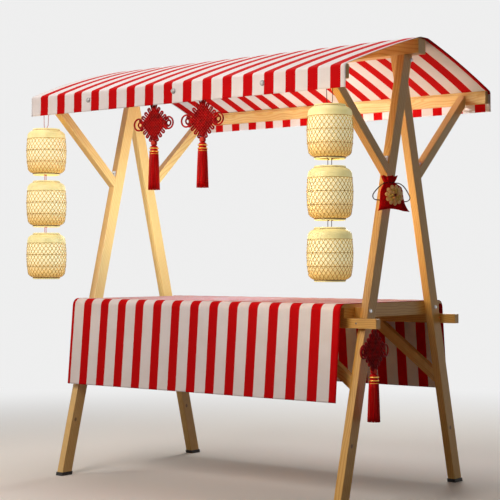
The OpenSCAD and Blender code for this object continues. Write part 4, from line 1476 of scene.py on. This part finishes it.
def turned_shape(outlines, hexagon=False):
    """A small mesh, standing on z = 0 with its axis upright."""
    bm = bmesh.new()
    for outline in outlines:
        spin_outline(bm, outline, 24)
    bmesh.ops.remove_doubles(bm, verts=bm.verts, dist=0.00001)
    if hexagon:
        middle = Matrix.Translation((0, 0, 0.0014 + HEX_HIGH / 2))
        head = bmesh.ops.create_cone(bm, cap_ends=True, segments=6, radius1=HEX_R, radius2=HEX_R,
                                     depth=HEX_HIGH, matrix=middle)["verts"]
        rim = [e for e in {e for v in head for e in v.link_edges} if min(v.co.z for v in e.verts) > HEX_HIGH]
        bmesh.ops.bevel(bm, geom=rim, offset=0.0009, segments=2, profile=0.5, affect="EDGES", material=-1)
    bmesh.ops.recalc_face_normals(bm, faces=bm.faces)
    return mesh_from("turned shape", bm)


def fasteners(name, shape, spots, material):
    """One piece with the shape at every spot, a place and the way that it faces."""
    bm = bmesh.new()
    for index, (place, facing) in enumerate(spots):
        before = len(bm.verts)
        bm.from_mesh(shape)
        bm.verts.ensure_lookup_table()
        facing_turn = Vector(facing).to_track_quat("Z", "Y").to_matrix().to_4x4()
        turn = facing_turn @ Matrix.Rotation(0.4 + index, 4, "Z")
        bmesh.ops.transform(bm, matrix=Matrix.Translation(place) @ turn, verts=bm.verts[before:])
    shade_smooth(bm.faces)
    mesh = mesh_from(name, bm, material)
    bpy.data.meshes.remove(shape)
    mesh.set_sharp_from_angle(angle=math.radians(38))
    piece = add_object(name, mesh)
    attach(piece, "root")
    print(name, len(spots))


def face_of(node, sign):
    """X of a node's outer face towards either end of the stall."""
    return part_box(node)[1 if sign > 0 else 0].x


APEX_BOLT = (0.0224 + STALL_Y, 1.8811)
TABLE_BOLTS = (("front", -0.2971 + STALL_Y, 0.8058), ("rear", 0.2826 + STALL_Y, 0.8077))
heads, nuts = [], []
for end, sign in ENDS.items():
    outer_leg = "front" if end == "right" else "rear"
    inner_leg = "rear" if end == "right" else "front"
    heads.append(((face_of(f"leg_{outer_leg}_{end}", sign), *APEX_BOLT), (sign, 0, 0)))
    nuts.append(((face_of(f"leg_{inner_leg}_{end}", -sign), *APEX_BOLT), (-sign, 0, 0)))
    for side, y, z in TABLE_BOLTS:
        heads.append(((face_of(f"leg_{side}_{end}", sign), y, z), (sign, 0, 0)))
        nuts.append(((face_of(f"table_board_{end}", -sign), y, z), (-sign, 0, 0)))
fasteners("bolt_heads", turned_shape([WASHER], hexagon=True), heads, zinc_plate)
fasteners("bolt_nuts", turned_shape([WASHER, THREAD], hexagon=True), nuts, zinc_plate)

VALANCE_FACE = EAVE_OUT + LIFT + CLOTH_THICK / 2
BUTTONS = ((-0.5255, 1.7518), (-0.0058, 1.7532), (0.4852, 1.7486))
spots = [((x, STALL_Y + sign * VALANCE_FACE, z), (0, sign, 0)) for sign in (-1, 1) for x, z in BUTTONS]
fasteners("valance_buttons", turned_shape([BUTTON]), spots, button_steel)

RAIL_SCREWS = (("table_rail_front", -1, (-0.7836, 0.8064)), ("table_rail_rear", 1, (-0.8064, 0.7836)))
RAIL_SCREW_Z = 0.7557
spots = []
for node, sign, places in RAIL_SCREWS:
    low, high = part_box(node)
    spots += [((x, high.y if sign > 0 else low.y, RAIL_SCREW_Z), (0, sign, 0)) for x in places]
BRACKET_ARM = 0.034
BRACKET_T = 0.0025
SCREW_ALONG = 0.021
LEG_SIDE = ((-math.sin(LEAN), math.cos(LEAN)), (math.cos(LEAN), math.sin(LEAN)))
BRACE_SIDE = ((math.cos(ROOF_BRACE), math.sin(ROOF_BRACE)), (-math.sin(ROOF_BRACE), math.cos(ROOF_BRACE)))
low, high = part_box("brace_brackets")
for end in ENDS:
    for side, sign in SIDES.items():
        leg_low, leg_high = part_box(f"leg_{side}_{end}")
        x = (leg_low.x + leg_high.x) / 2
        outer_y = high.y if sign > 0 else low.y
        crook = Vector((x, outer_y - sign * BRACKET_ARM * math.cos(ROOF_BRACE), low.z))
        for along, off in (LEG_SIDE, BRACE_SIDE):
            facing = Vector((0, sign * off[0], off[1]))
            out = Vector((0, sign * along[0], along[1])) * SCREW_ALONG
            spots.append((crook + out + facing * BRACKET_T, facing))
fasteners("screws", turned_shape([SCREW]), spots, old_zinc)
